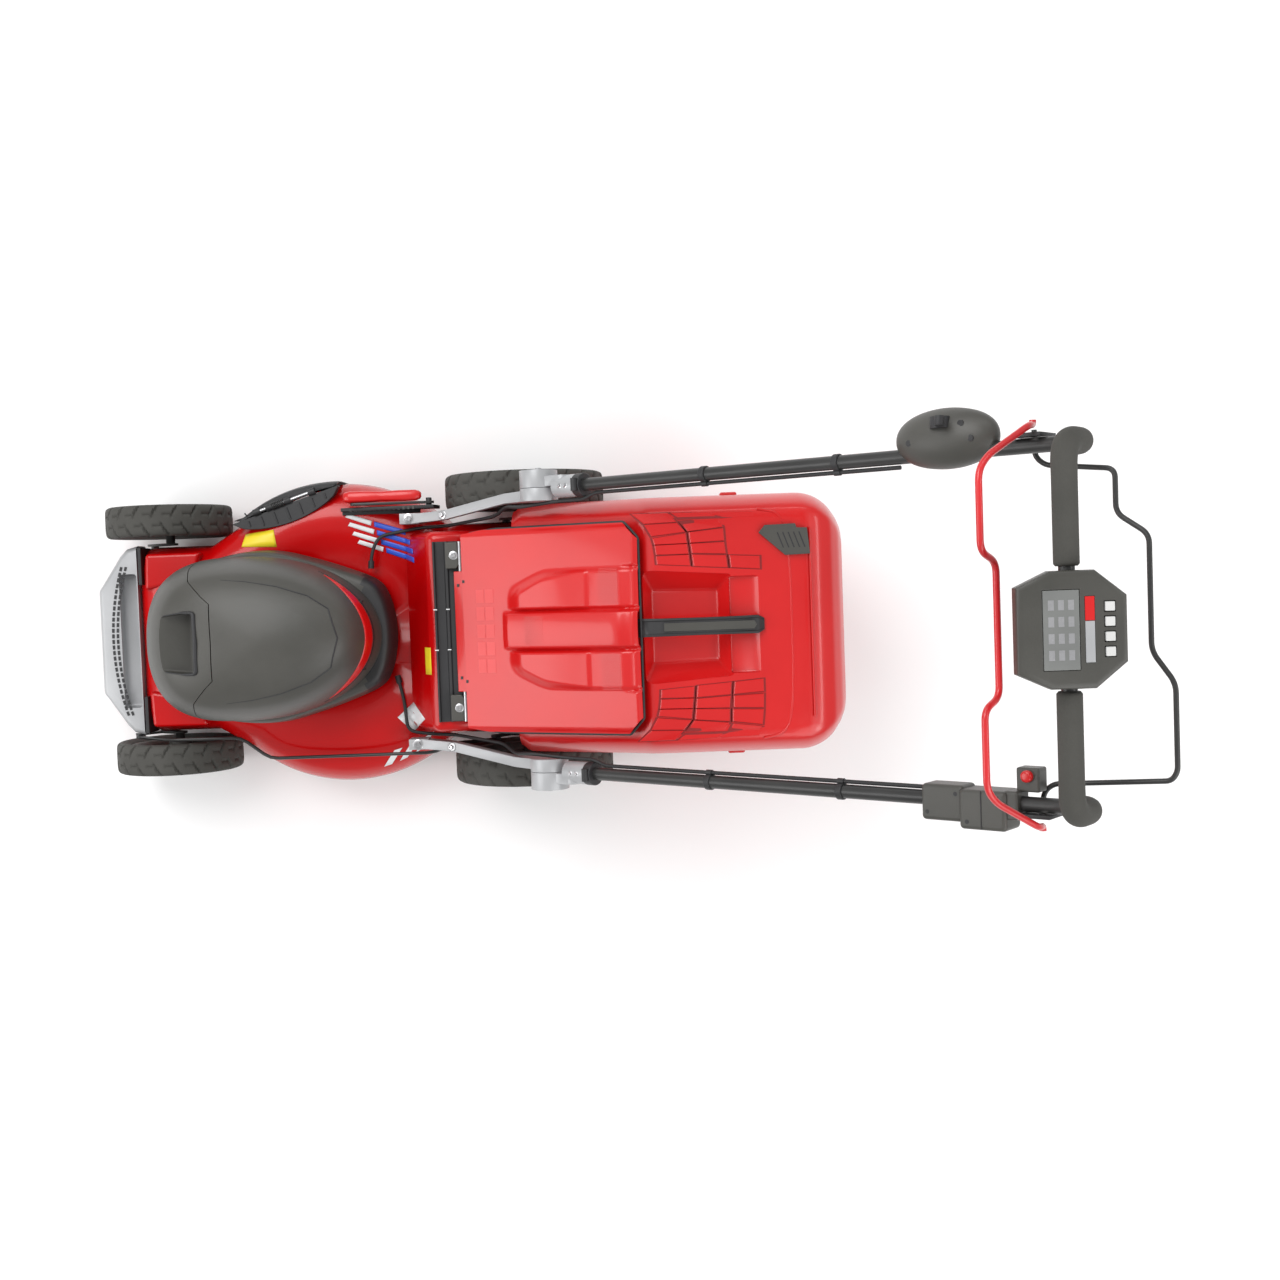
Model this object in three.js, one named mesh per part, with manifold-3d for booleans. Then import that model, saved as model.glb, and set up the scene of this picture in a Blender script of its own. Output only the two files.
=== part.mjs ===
// Battery lawn mower with a steel deck, a rear grass box and a folding handle.
// Millimetres, +X towards the operator, +Y to the operator's right, +Z up.
// The model is laid out from the blade axis and centred on its own box at the end.
import * as THREE from 'three';
import { mergeVertices } from 'three/addons/utils/BufferGeometryUtils.js';
import Module from 'manifold-3d';

const wasm = await Module();
wasm.setup();

// ---- driving dimensions ----
const GAP = 0.4; // clearance between pieces that touch
const SHEET = 3; // deck sheet and hood wall
const DECK_RADIUS = 267;
const DECK_RIM_Z = 28;
const DECK_TOP_Z = 195;
const DECK_FRONT_X = -355;
const DECK_FRONT_WALL_X = -335; // lower front wall, behind the front axle bar
const DECK_FRONT_WALL_TOP = 110;
const DECK_FRONT_HALF = 165;
const DECK_REAR_HALF = 188;
const TUNNEL_HALF = 170;
const TUNNEL_TOP_Z = 290;
const TUNNEL_FRONT_X = 122;
const FRONT_AXLE_X = -314;
const WHEELBASE = 642;
const FRONT_WHEEL_R = 110;
const REAR_WHEEL_R = 140;
const FRONT_TYRE_WIDTH = 55;
const REAR_TYRE_WIDTH = 60;
const FRONT_TRACK_HALF = 209;
const REAR_TRACK_HALF = 240;
const TYRE_DEPTH = 24;
const TYRE_SEGMENTS = 32; // even count, turned half a step so that a facet meets the ground
const STUB_R = 8;
const BORE_R = 8.7;
const CRANK = 46; // axle crank arm
const CRANK_TILT = 36.5; // degrees above level with the deck at its lowest
const AXLE_BAR_R = 7;
const PLATE = 4; // crank plate thickness
const ROD_ARM = 50; // crank arm that works the link rod
const ROD_R = 3;
const HOOD_FLOOR_Z = 197;
const HOOD_SPLIT_Z = 255;
const HOOD_SEAM_X = -190;
const HOOD_TRIM_X = 58;
const HOOD_TRIM_WIDTH = 14;
const BLADE_LENGTH = 505;
const BLADE_Z = 38;
const PIVOT_Z = 380;
const PIVOT_R = 31;
const HANDLE_HALF = 230;
const HANDLE_ANGLE = 39;
const HANDLE_LENGTH = 926;
const HANDLE_RISE = 70;
const HANDLE_R = 10;
const GRIP_R = 16.5;
const FLAP_HALF = 175;
const FLAP_HINGE_Z = 306;
const FLAP_LENGTH = 333;
const FLAP_ANGLE = 26.5;
const FLAP_THICK = 8;
const BOX_HALF = 205;
const BOX_LENGTH = 541;
const BOX_TOP_Z = 448;
const BOX_WALL = 4;
const BOX_CORNER = 90;

const REAR_AXLE_X = FRONT_AXLE_X + WHEELBASE;
const DECK_REAR_X = REAR_AXLE_X - 18;
const BOX_FRONT_X = REAR_AXLE_X - 10;
const BOX_REAR_X = BOX_FRONT_X + BOX_LENGTH;
const FLAP_HINGE_X = BOX_FRONT_X - 90;
const PIVOT_X = REAR_AXLE_X + 41; // handle's folding pivot
const radians = Math.PI / 180;

// ---- shape helpers ----
const at = (x, y, z) => new THREE.Vector3(x, y, z);
const REAR_AXLE = at(REAR_AXLE_X, 0, REAR_WHEEL_R);

function asSolid(geometry) {
  const bare = geometry.clone();
  bare.deleteAttribute('normal');
  bare.deleteAttribute('uv');
  const merged = mergeVertices(bare, 1e-4);
  const corners = [];
  const index = merged.index.array;
  for (let i = 0; i < index.length; i += 3) {
    const [a, b, c] = [index[i], index[i + 1], index[i + 2]];
    if (a !== b && b !== c && c !== a) corners.push(a, b, c);
  }
  const place = merged.attributes.position;
  const point = (i) => new THREE.Vector3().fromBufferAttribute(place, i);
  let volume = 0;
  for (let i = 0; i < corners.length; i += 3) {
    volume += point(corners[i]).dot(point(corners[i + 1]).cross(point(corners[i + 2])));
  }
  if (volume < 0) corners.reverse();
  return new wasm.Manifold(new wasm.Mesh({
    numProp: 3,
    vertProperties: new Float32Array(place.array),
    triVerts: new Uint32Array(corners),
  }));
}

function asGeometry(solid) {
  const mesh = solid.getMesh();
  const geometry = new THREE.BufferGeometry();
  geometry.setAttribute('position', new THREE.BufferAttribute(new Float32Array(mesh.vertProperties), 3));
  geometry.setIndex(new THREE.BufferAttribute(new Uint32Array(mesh.triVerts), 1));
  geometry.computeVertexNormals();
  return geometry;
}

const join = (...solids) => solids.reduce((whole, next) => whole.add(next));
const cut = (solid, ...cutters) => cutters.reduce((whole, next) => whole.subtract(next), solid);

// Box between two opposite corners.
function block(x0, x1, y0, y1, z0, z1) {
  const geometry = new THREE.BoxGeometry(x1 - x0, y1 - y0, z1 - z0);
  return asSolid(geometry.translate((x0 + x1) / 2, (y0 + y1) / 2, (z0 + z1) / 2));
}

// Cylinder from one point to another.
function rod(start, end, radius, sides = 16) {
  const geometry = new THREE.CylinderGeometry(radius, radius, start.distanceTo(end), sides);
  const turn = new THREE.Quaternion().setFromUnitVectors(at(0, 1, 0), end.clone().sub(start).normalize());
  const middle = start.clone().add(end).multiplyScalar(0.5);
  return asSolid(geometry.applyQuaternion(turn).translate(middle.x, middle.y, middle.z));
}

const rodY = (x, z, y0, y1, radius, sides) => rod(at(x, y0, z), at(x, y1, z), radius, sides);
const rodZ = (x, y, z0, z1, radius, sides) => rod(at(x, y, z0), at(x, y, z1), radius, sides);

// Plan outline raised from z0 to z1.
function prism(shape, z0, z1, curveSegments = 12) {
  const geometry = new THREE.ExtrudeGeometry(shape, { depth: z1 - z0, bevelEnabled: false, curveSegments });
  return asSolid(geometry.translate(0, 0, z0));
}

// Side profile in x and z, spread from y0 to y1.
function profile(points, y0, y1) {
  const shape = new THREE.Shape(points.map(([x, z]) => new THREE.Vector2(x, z)));
  const geometry = new THREE.ExtrudeGeometry(shape, { depth: y1 - y0, bevelEnabled: false });
  return asSolid(geometry.rotateX(Math.PI / 2).translate(0, y1, 0));
}

// Closed skin over rings of equal point count, with a fan over each end.
function loft(rings) {
  const count = rings[0].length;
  const places = rings.flat().flatMap((p) => [p.x, p.y, p.z]);
  const centre = (ring) => ring.reduce((sum, p) => sum.add(p), at(0, 0, 0)).divideScalar(count);
  for (const ring of [rings[0], rings.at(-1)]) places.push(...centre(ring));
  const first = rings.length * count;
  const index = [];
  for (let i = 0; i < count; i++) {
    const next = (i + 1) % count;
    index.push(first, next, i);
    index.push(first + 1, (rings.length - 1) * count + i, (rings.length - 1) * count + next);
    for (let k = 0; k + 1 < rings.length; k++) {
      const [a, b, c, d] = [k * count + i, k * count + next, (k + 1) * count + next, (k + 1) * count + i];
      index.push(a, b, c, a, c, d);
    }
  }
  const geometry = new THREE.BufferGeometry();
  geometry.setAttribute('position', new THREE.Float32BufferAttribute(places, 3));
  geometry.setIndex(index);
  return asSolid(geometry);
}

// Centre line through corner points, each corner rounded by its radius.
class RodLine extends THREE.Curve {
  constructor(corners, radius, stepsPerBend = 5) {
    super();
    this.points = [corners[0]];
    for (let i = 1; i + 1 < corners.length; i++) {
      const back = corners[i - 1].clone().sub(corners[i]);
      const ahead = corners[i + 1].clone().sub(corners[i]);
      const backShare = i === 1 ? 0.95 : 0.49;
      const aheadShare = i + 2 === corners.length ? 0.95 : 0.49;
      const reach = Math.min(radius, back.length() * backShare, ahead.length() * aheadShare);
      const start = corners[i].clone().addScaledVector(back.normalize(), reach);
      const end = corners[i].clone().addScaledVector(ahead.normalize(), reach);
      const bend = new THREE.QuadraticBezierCurve3(start, corners[i], end);
      this.points.push(...bend.getPoints(stepsPerBend));
    }
    this.points.push(corners.at(-1));
  }

  getPointAt(u) {
    return this.points[Math.round(u * (this.points.length - 1))].clone();
  }

  getTangentAt(u) {
    const i = Math.round(u * (this.points.length - 1));
    const before = this.points[Math.max(i - 1, 0)];
    const after = this.points[Math.min(i + 1, this.points.length - 1)];
    return after.clone().sub(before).normalize();
  }
}

function tube(corners, radius, bend, sides = 12, stepsPerBend = 5) {
  const section = new THREE.Shape();
  for (let i = 0; i < sides; i++) {
    const angle = (i / sides) * 2 * Math.PI;
    const [x, y] = [radius * Math.cos(angle), radius * Math.sin(angle)];
    if (i === 0) section.moveTo(x, y);
    else section.lineTo(x, y);
  }
  section.closePath();
  const line = new RodLine(corners, bend, stepsPerBend);
  const steps = line.points.length - 1;
  return asSolid(new THREE.ExtrudeGeometry(section, { steps, extrudePath: line, bevelEnabled: false }));
}

// Half outline with y above zero, walked from front to rear, mirrored into a full one.
function mirrored(half) {
  const shape = new THREE.Shape();
  half.forEach(([x, y], i) => (i === 0 ? shape.moveTo(x, y) : shape.lineTo(x, y)));
  [...half].reverse().forEach(([x, y]) => shape.lineTo(x, -y));
  shape.closePath();
  return shape;
}

const group = new THREE.Group();
const finishes = {
  red: { color: 0xb3121a, roughness: 0.3, metalness: 0.1 },
  dark: { color: 0x3b3c3b, roughness: 0.55, metalness: 0 },
  black: { color: 0x161616, roughness: 0.6, metalness: 0 },
  silver: { color: 0xb9bcbf, roughness: 0.4, metalness: 0.4 },
  steel: { color: 0x8d9093, roughness: 0.35, metalness: 0.9 },
  rubber: { color: 0x2a2a29, roughness: 0.85, metalness: 0 },
  blackMetal: { color: 0x1b1b1b, roughness: 0.4, metalness: 0.5 },
  glass: { color: 0x8c949a, roughness: 0.1, metalness: 0 },
  pale: { color: 0xd8dadb, roughness: 0.5, metalness: 0 },
};

function add(name, solid, finish) {
  const mesh = new THREE.Mesh(asGeometry(solid), new THREE.MeshStandardMaterial(finishes[finish]));
  mesh.name = name;
  group.add(mesh);
}

const sides = [['left', -1], ['right', 1]];
// y range on one side of the mower, given as distances out from its middle
const span = (sign, inner, outer) => (sign > 0 ? [inner, outer] : [-outer, -inner]);

// ---- deck ----
function deckOutline(inset, frontX, rearX) {
  const radius = DECK_RADIUS - inset;
  const rearHalf = DECK_REAR_HALF - inset;
  const frontHalf = DECK_FRONT_HALF - inset;
  const corner = 25;
  const rearAngle = Math.asin(rearHalf / radius);
  const frontAngle = 131 * radians;
  const half = [[frontX, frontHalf - corner], [frontX + corner, frontHalf], [-230, frontHalf]];
  const steps = 12;
  for (let i = 0; i <= steps; i++) {
    const angle = frontAngle + ((rearAngle - frontAngle) * i) / steps;
    half.push([radius * Math.cos(angle), radius * Math.sin(angle)]);
  }
  half.push([rearX, rearHalf]);
  return mirrored(half);
}

function tunnelProfile(inset, rearX) {
  return [
    [TUNNEL_FRONT_X + inset, DECK_TOP_Z - 40],
    [TUNNEL_FRONT_X + inset, DECK_TOP_Z],
    [TUNNEL_FRONT_X + 50 + inset, TUNNEL_TOP_Z - inset],
    [rearX, TUNNEL_TOP_Z - inset],
    [rearX, DECK_TOP_Z - 40],
  ];
}

const REAR_PIVOT = at(REAR_AXLE_X - CRANK * Math.cos(CRANK_TILT * radians), 0,
  REAR_WHEEL_R - CRANK * Math.sin(CRANK_TILT * radians));
const FRONT_PIVOT = at(FRONT_AXLE_X - CRANK * Math.cos(CRANK_TILT * radians), 0,
  FRONT_WHEEL_R - CRANK * Math.sin(CRANK_TILT * radians));

// Side discharge: the deck wall outside this line is replaced by a hinged guard.
const GUARD_START = new THREE.Vector2(-178, 199);
const GUARD_END = new THREE.Vector2(8, 260);
const GUARD_DIRECTION = GUARD_END.clone().sub(GUARD_START).normalize();
const GUARD_RIM_Z = 46;

function beyondGuardLine(offset, z0, z1, trim = 0) {
  const out = new THREE.Vector2(-GUARD_DIRECTION.y, GUARD_DIRECTION.x);
  const a = GUARD_START.clone().addScaledVector(GUARD_DIRECTION, trim).addScaledVector(out, offset);
  const b = GUARD_END.clone().addScaledVector(GUARD_DIRECTION, -trim).addScaledVector(out, offset);
  const c = b.clone().addScaledVector(out, 90);
  const d = a.clone().addScaledVector(out, 90);
  return prism(new THREE.Shape([a, b, c, d]), z0, z1);
}

const deckOuter = join(
  prism(deckOutline(0, DECK_FRONT_WALL_X, DECK_REAR_X), DECK_RIM_Z, DECK_FRONT_WALL_TOP),
  prism(deckOutline(0, DECK_FRONT_X, DECK_REAR_X), DECK_FRONT_WALL_TOP - 1, DECK_TOP_Z),
  profile(tunnelProfile(0, DECK_REAR_X), -TUNNEL_HALF, TUNNEL_HALF),
);
const deckInner = join(
  prism(deckOutline(SHEET, DECK_FRONT_WALL_X + SHEET, DECK_REAR_X + 9), DECK_RIM_Z - 1,
    DECK_FRONT_WALL_TOP + SHEET + 1),
  prism(deckOutline(SHEET, DECK_FRONT_X + SHEET, DECK_REAR_X + 9),
    DECK_FRONT_WALL_TOP + SHEET, DECK_TOP_Z - SHEET),
  profile(tunnelProfile(SHEET, DECK_REAR_X + 9), -TUNNEL_HALF + SHEET, TUNNEL_HALF - SHEET),
);
const BEARING_Y = 120;
const bearings = sides.map(([, sign]) => block(FRONT_PIVOT.x - 13, DECK_FRONT_WALL_X + 1,
  ...span(sign, BEARING_Y - 6, BEARING_Y + 6), FRONT_PIVOT.z - 13, FRONT_PIVOT.z + 13));
const deck = cut(
  join(cut(deckOuter, deckInner), ...bearings),
  rodY(REAR_PIVOT.x, REAR_PIVOT.z, -250, 250, AXLE_BAR_R + 1.2),
  rodY(FRONT_PIVOT.x, FRONT_PIVOT.z, -250, 250, AXLE_BAR_R + 0.5),
  rodZ(0, 0, DECK_TOP_Z - 20, DECK_TOP_Z + 5, 22),
  beyondGuardLine(0, GUARD_RIM_Z, DECK_TOP_Z + 5),
);
add('deck', deck, 'red');

// ---- side discharge guard, hinged along its inner top edge ----
const guardBody = (inset, z0, z1) => prism(deckOutline(inset, DECK_FRONT_X, DECK_REAR_X), z0, z1)
  .intersect(beyondGuardLine(2 + inset, z0 - 5, z1 + 5, 3 + inset));
const GUARD_HINGE_R = 4;
const guardHinge = (offset, z) => {
  const out = new THREE.Vector2(-GUARD_DIRECTION.y, GUARD_DIRECTION.x);
  const a = GUARD_START.clone().addScaledVector(GUARD_DIRECTION, 55).addScaledVector(out, offset);
  const b = GUARD_END.clone().addScaledVector(GUARD_DIRECTION, -55).addScaledVector(out, offset);
  return rod(at(a.x, a.y, z), at(b.x, b.y, z), GUARD_HINGE_R, 12);
};
const guardShell = cut(
  guardBody(0, GUARD_RIM_Z + 1, DECK_TOP_Z + 2),
  guardBody(SHEET, GUARD_RIM_Z - 5, DECK_TOP_Z + 2 - SHEET),
  cut(beyondGuardLine(-40, GUARD_RIM_Z - 5, DECK_TOP_Z - 12), beyondGuardLine(6, 0, DECK_TOP_Z)),
);
add('side_guard', join(guardShell, guardHinge(4, DECK_TOP_Z + GUARD_HINGE_R)), 'dark');

// ---- front bumper with its carry roll ----
const BUMPER_FRONT_X = -426;
function bumperOutline(inset) {
  return mirrored([
    [BUMPER_FRONT_X + inset, 82 - inset * 0.3],
    [BUMPER_FRONT_X + 45 + inset * 0.5, 158 - inset],
    [DECK_FRONT_X - GAP, DECK_FRONT_HALF + 1 - inset],
  ]);
}
const BUMPER_TOP_Z = 178;
const RECESS_X = [-386, -362]; // finger recess behind the slotted edge
const bumperShell = cut(
  prism(bumperOutline(0), BUMPER_TOP_Z - 58, BUMPER_TOP_Z),
  prism(bumperOutline(SHEET + 1), BUMPER_TOP_Z - 60, BUMPER_TOP_Z - SHEET - 1),
  block(...RECESS_X, -96, 96, BUMPER_TOP_Z - 20, BUMPER_TOP_Z + 5),
);
const recessFloor = block(RECESS_X[0] - SHEET, RECESS_X[1] + SHEET, -99, 99,
  BUMPER_TOP_Z - 28, BUMPER_TOP_Z - 24);
const recessWall = cut(
  block(RECESS_X[0] - SHEET, RECESS_X[1] + SHEET, -99, 99, BUMPER_TOP_Z - 26, BUMPER_TOP_Z - 1),
  block(...RECESS_X, -96, 96, BUMPER_TOP_Z - 24, BUMPER_TOP_Z + 5),
);
const slotRow = [];
for (let i = -5; i <= 5; i++) {
  slotRow.push(block(-402, -392, i * 15 - 5, i * 15 + 5, BUMPER_TOP_Z - 20, BUMPER_TOP_Z + 5));
}
const bumperBack = block(DECK_FRONT_X - GAP - 4, DECK_FRONT_X - GAP, -DECK_FRONT_HALF, DECK_FRONT_HALF,
  BUMPER_TOP_Z - 58, BUMPER_TOP_Z);
add('front_bumper', join(cut(bumperShell, ...slotRow), recessFloor, recessWall, bumperBack), 'silver');

// ---- hood over the motor and battery ----
// Each level: height, front end, rear end, half width.
const HOOD_LEVELS = [
  [HOOD_FLOOR_Z, -322, 108, 150],
  [250, -320, 104, 148],
  [300, -312, 92, 144],
  [345, -292, 78, 134],
  [380, -258, 62, 118],
  [405, -208, 45, 95],
  [420, -145, 20, 62],
  [427, -90, -15, 25],
];
const HOOD_POINTS = 24;

function hoodRing([z, front, rear, halfWidth]) {
  const ring = [];
  const widest = front + (rear - front) * 0.42;
  for (let i = 0; i < HOOD_POINTS; i++) {
    const angle = (i / HOOD_POINTS) * 2 * Math.PI;
    const [c, s] = [Math.cos(angle), Math.sin(angle)];
    const reach = c > 0 ? rear - widest : widest - front;
    const square = c > 0 ? 0.85 : 0.62;
    const x = widest + Math.sign(c) * reach * Math.abs(c) ** square;
    ring.push(at(x, Math.sign(s) * halfWidth * Math.abs(s) ** 0.85, z));
  }
  return ring;
}

const hoodOuter = loft(HOOD_LEVELS.map(hoodRing));
const hoodInner = loft(HOOD_LEVELS.map(([z, front, rear, half]) => hoodRing([
  z - SHEET, front + SHEET, rear - SHEET, half - SHEET,
])));
const hoodShell = hoodOuter.subtract(hoodInner);
const hoodPart = (x0, x1, z0, z1) => hoodShell.intersect(block(x0, x1, -200, 200, z0, z1));
const trimEnd = HOOD_TRIM_X + HOOD_TRIM_WIDTH;
add('hood_base', hoodPart(-400, 300, 0, HOOD_SPLIT_Z), 'dark');
const flapRecess = block(HOOD_SEAM_X - 48, HOOD_SEAM_X - 14, -48, 48, 372, 460);
add('battery_flap', cut(hoodPart(-400, HOOD_SEAM_X - GAP, HOOD_SPLIT_Z + GAP, 500), flapRecess), 'dark');
add('hood_dome', hoodPart(HOOD_SEAM_X, HOOD_TRIM_X - GAP, HOOD_SPLIT_Z + GAP, 500), 'dark');
add('hood_trim', hoodPart(HOOD_TRIM_X, trimEnd - GAP, HOOD_SPLIT_Z + GAP, 500), 'red');
add('hood_tail', hoodPart(trimEnd, 300, HOOD_SPLIT_Z + GAP, 500), 'black');

// ---- drive unit under the hood ----
const MOTOR_R = 74;
const MOTOR_FLOOR_Z = DECK_TOP_Z + GAP;
const ADAPTER_R = 12;
add('motor', cut(
  rodZ(0, 0, MOTOR_FLOOR_Z, MOTOR_FLOOR_Z + 82, MOTOR_R, 32),
  rodZ(0, 0, MOTOR_FLOOR_Z - 1, MOTOR_FLOOR_Z + 32, ADAPTER_R + 0.8, 24),
), 'steel');
add('controller', block(-62, 62, -58, 58, MOTOR_FLOOR_Z + 90, MOTOR_FLOOR_Z + 122), 'black');
const BATTERY_HALF = 52;
add('battery_pack', join(
  block(-288, -196, -BATTERY_HALF, BATTERY_HALF, MOTOR_FLOOR_Z + 6, MOTOR_FLOOR_Z + 108),
  block(-270, -214, -18, 18, MOTOR_FLOOR_Z + 107, MOTOR_FLOOR_Z + 118),
), 'black');
add('safety_key', join(
  block(-252, -240, 74, 94, MOTOR_FLOOR_Z + 6, MOTOR_FLOOR_Z + 40),
  block(-258, -234, 70, 98, MOTOR_FLOOR_Z + 39, MOTOR_FLOOR_Z + 48),
), 'red');

// ---- cutter ----
const BLADE_THICK = 4;
add('blade_adapter', join(
  rodZ(0, 0, BLADE_Z + BLADE_THICK + GAP, MOTOR_FLOOR_Z + 30, ADAPTER_R, 24),
  rodZ(0, 0, BLADE_Z + BLADE_THICK + GAP, BLADE_Z + 26, 34, 24),
), 'steel');
const bladeHalf = BLADE_LENGTH / 2;
const bladeShape = new THREE.Shape([
  new THREE.Vector2(-bladeHalf, -10), new THREE.Vector2(-bladeHalf + 70, -28),
  new THREE.Vector2(bladeHalf, -28), new THREE.Vector2(bladeHalf, 10),
  new THREE.Vector2(bladeHalf - 70, 28), new THREE.Vector2(-bladeHalf, 28),
]);
add('blade', cut(prism(bladeShape, BLADE_Z, BLADE_Z + BLADE_THICK), rodZ(0, 0, 0, 99, 7.5, 16)), 'steel');
add('blade_bolt', join(
  rodZ(0, 0, BLADE_Z - 9, BLADE_Z - GAP, 15, 6),
  rodZ(0, 0, BLADE_Z - 2, BLADE_Z + BLADE_THICK, 6, 12),
), 'steel');

// ---- cranked axles, link rod and height lever ----
const crankArm = at(CRANK * Math.cos(CRANK_TILT * radians), 0, CRANK * Math.sin(CRANK_TILT * radians));
const rodArm = at(-ROD_ARM * Math.sin(CRANK_TILT * radians), 0, ROD_ARM * Math.cos(CRANK_TILT * radians));

// Flat link with round ends between two points in one x-z plane.
function link(a, b, radius, y0, y1) {
  const along = b.clone().sub(a).normalize();
  const side = at(-along.z, 0, along.x).multiplyScalar(radius);
  const corners = [a.clone().add(side), b.clone().add(side), b.clone().sub(side), a.clone().sub(side)];
  return join(
    profile(corners.map((p) => [p.x, p.z]), y0, y1),
    rodY(a.x, a.z, y0, y1, radius, 20),
    rodY(b.x, b.z, y0, y1, radius, 20),
  );
}

function axle(pivot, plateInner, stubEnd, rodPinEnd) {
  const wheel = pivot.clone().add(crankArm);
  const pin = pivot.clone().add(rodArm);
  const pieces = [rodY(pivot.x, pivot.z, -plateInner - 1, plateInner + 1, AXLE_BAR_R)];
  for (const [name, sign] of sides) {
    const plateY = span(sign, plateInner, plateInner + PLATE);
    pieces.push(link(pivot, wheel, 13, ...plateY));
    pieces.push(rodY(wheel.x, wheel.z, ...span(sign, plateInner + 1, stubEnd), STUB_R));
    if (name === 'left') {
      pieces.push(link(pivot, pin, 9, ...plateY));
      pieces.push(rodY(pin.x, pin.z, ...span(sign, plateInner + 1, rodPinEnd), 4, 16));
    }
  }
  return join(...pieces);
}

const FRONT_PLATE_Y = DECK_FRONT_HALF + 2.5;
const REAR_PLATE_Y = DECK_REAR_HALF + 3;
const ROD_EYE = 4; // eye thickness
const frontStubEnd = FRONT_TRACK_HALF + FRONT_TYRE_WIDTH / 2 + 2;
const rearStubEnd = REAR_TRACK_HALF + REAR_TYRE_WIDTH / 2 + 1;
const eyeSpan = PLATE + 1 + ROD_EYE; // from a plate's inner face to the rod eye's outer face
add('front_axle', axle(FRONT_PIVOT, FRONT_PLATE_Y, frontStubEnd, FRONT_PLATE_Y + eyeSpan), 'blackMetal');
add('rear_axle', axle(REAR_PIVOT, REAR_PLATE_Y, rearStubEnd, REAR_PLATE_Y + eyeSpan), 'blackMetal');

const frontPin = FRONT_PIVOT.clone().add(rodArm);
const rearPin = REAR_PIVOT.clone().add(rodArm);
const frontEyeY = [-(FRONT_PLATE_Y + eyeSpan), -(FRONT_PLATE_Y + PLATE + 1)];
const rearEyeY = [-(REAR_PLATE_Y + eyeSpan), -(REAR_PLATE_Y + PLATE + 1)];
const frontRodY = (frontEyeY[0] + frontEyeY[1]) / 2;
const rearRodY = (rearEyeY[0] + rearEyeY[1]) / 2;
const ROD_RUN_Z = DECK_TOP_Z + ROD_R + 6;
const ROD_RUN_Y = 213;
const ROD_TURN_X = 158;
const eye = (pin, [y0, y1]) => rodY(pin.x, pin.z, y0, y1, 8.5, 20);
const eyeHole = (pin, [y0, y1]) => rodY(pin.x, pin.z, y0 - 9, y1 + 9, 4.6, 20);
const rodCorners = [
  at(frontPin.x, frontRodY, frontPin.z + 6),
  at(frontPin.x + 76, frontRodY, ROD_RUN_Z),
  at(-180, frontRodY, ROD_RUN_Z),
  at(-130, -ROD_RUN_Y, ROD_RUN_Z),
  at(ROD_TURN_X, -ROD_RUN_Y, ROD_RUN_Z),
  at(ROD_TURN_X + 32, rearRodY, ROD_RUN_Z),
  at(rearPin.x, rearRodY, rearPin.z + 6),
];
add('link_rod', cut(
  join(tube(rodCorners, ROD_R, 14, 8, 2), eye(frontPin, frontEyeY), eye(rearPin, rearEyeY)),
  eyeHole(frontPin, frontEyeY),
  eyeHole(rearPin, rearEyeY),
), 'blackMetal');

const LEVER_PIVOT = at(168, 0, DECK_TOP_Z + 24);
const LEVER_Y = 226;
const LEVER_REACH = 146;
const indexPlate = profile([[14, DECK_TOP_Z + GAP], [14, DECK_TOP_Z + 18], [60, DECK_TOP_Z + 30],
  [178, DECK_TOP_Z + 40], [184, DECK_TOP_Z + GAP]], LEVER_Y - 14, LEVER_Y - 8);
const leverPin = rodY(LEVER_PIVOT.x, LEVER_PIVOT.z, LEVER_Y - 9, LEVER_Y + 5, 5, 16);
const indexFoot = block(14, 150, LEVER_Y - 20, LEVER_Y - 9, DECK_TOP_Z + GAP, DECK_TOP_Z + 4);
add('index_plate', join(indexPlate, leverPin, indexFoot), 'black');
const leverEnd = at(LEVER_PIVOT.x - LEVER_REACH + 20, 0, LEVER_PIVOT.z + 6);
const leverY = [LEVER_Y - 5, LEVER_Y - 1];
add('height_lever', cut(
  link(LEVER_PIVOT, leverEnd, 9, ...leverY),
  rodY(LEVER_PIVOT.x, LEVER_PIVOT.z, LEVER_Y - 20, LEVER_Y + 20, 5.6, 20),
), 'blackMetal');
const gripY = [LEVER_Y + GAP - 1, LEVER_Y + 20];
add('lever_grip', join(
  profile([[20, 208], [20, 228], [150, 236], [156, 226], [150, 214]], ...gripY),
), 'red');

// ---- wheels ----
function wheel(name, x, height, trackHalf, width, sign) {
  const step = Math.PI / TYRE_SEGMENTS;
  const radius = height / Math.cos(step); // each facet's middle is at the true radius
  const tyreInner = radius - TYRE_DEPTH;
  const shoulder = width / 2;
  // Ring profile as radius and distance along the axle, turned about y.
  const ring = (points) => {
    const closed = points.map(([r, a]) => new THREE.Vector2(r, a));
    closed.push(closed[0].clone());
    const geometry = new THREE.LatheGeometry(closed, TYRE_SEGMENTS);
    return asSolid(geometry.rotateY(step).translate(x, sign * trackHalf, height));
  };
  add(`${name}_tyre`, ring([
    [tyreInner, -shoulder + 5], [radius - 12, -shoulder], [radius - 3, -shoulder + 5],
    [radius, -shoulder + 14], [radius, shoulder - 14], [radius - 3, shoulder - 5],
    [radius - 12, shoulder], [tyreInner, shoulder - 5],
  ]), 'rubber');
  const seat = tyreInner - GAP;
  const rim = ring([
    [BORE_R, -shoulder + 3], [30, -shoulder + 3], [32, -6], [seat - 10, -8], [seat - 6, -shoulder + 6],
    [seat, -shoulder + 6], [seat, shoulder - 6], [seat - 6, shoulder - 6], [seat - 10, 8], [32, 6],
    [30, shoulder - 3], [BORE_R, shoulder - 3],
  ]);
  add(`${name}_rim`, rim, 'dark');
}
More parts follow.
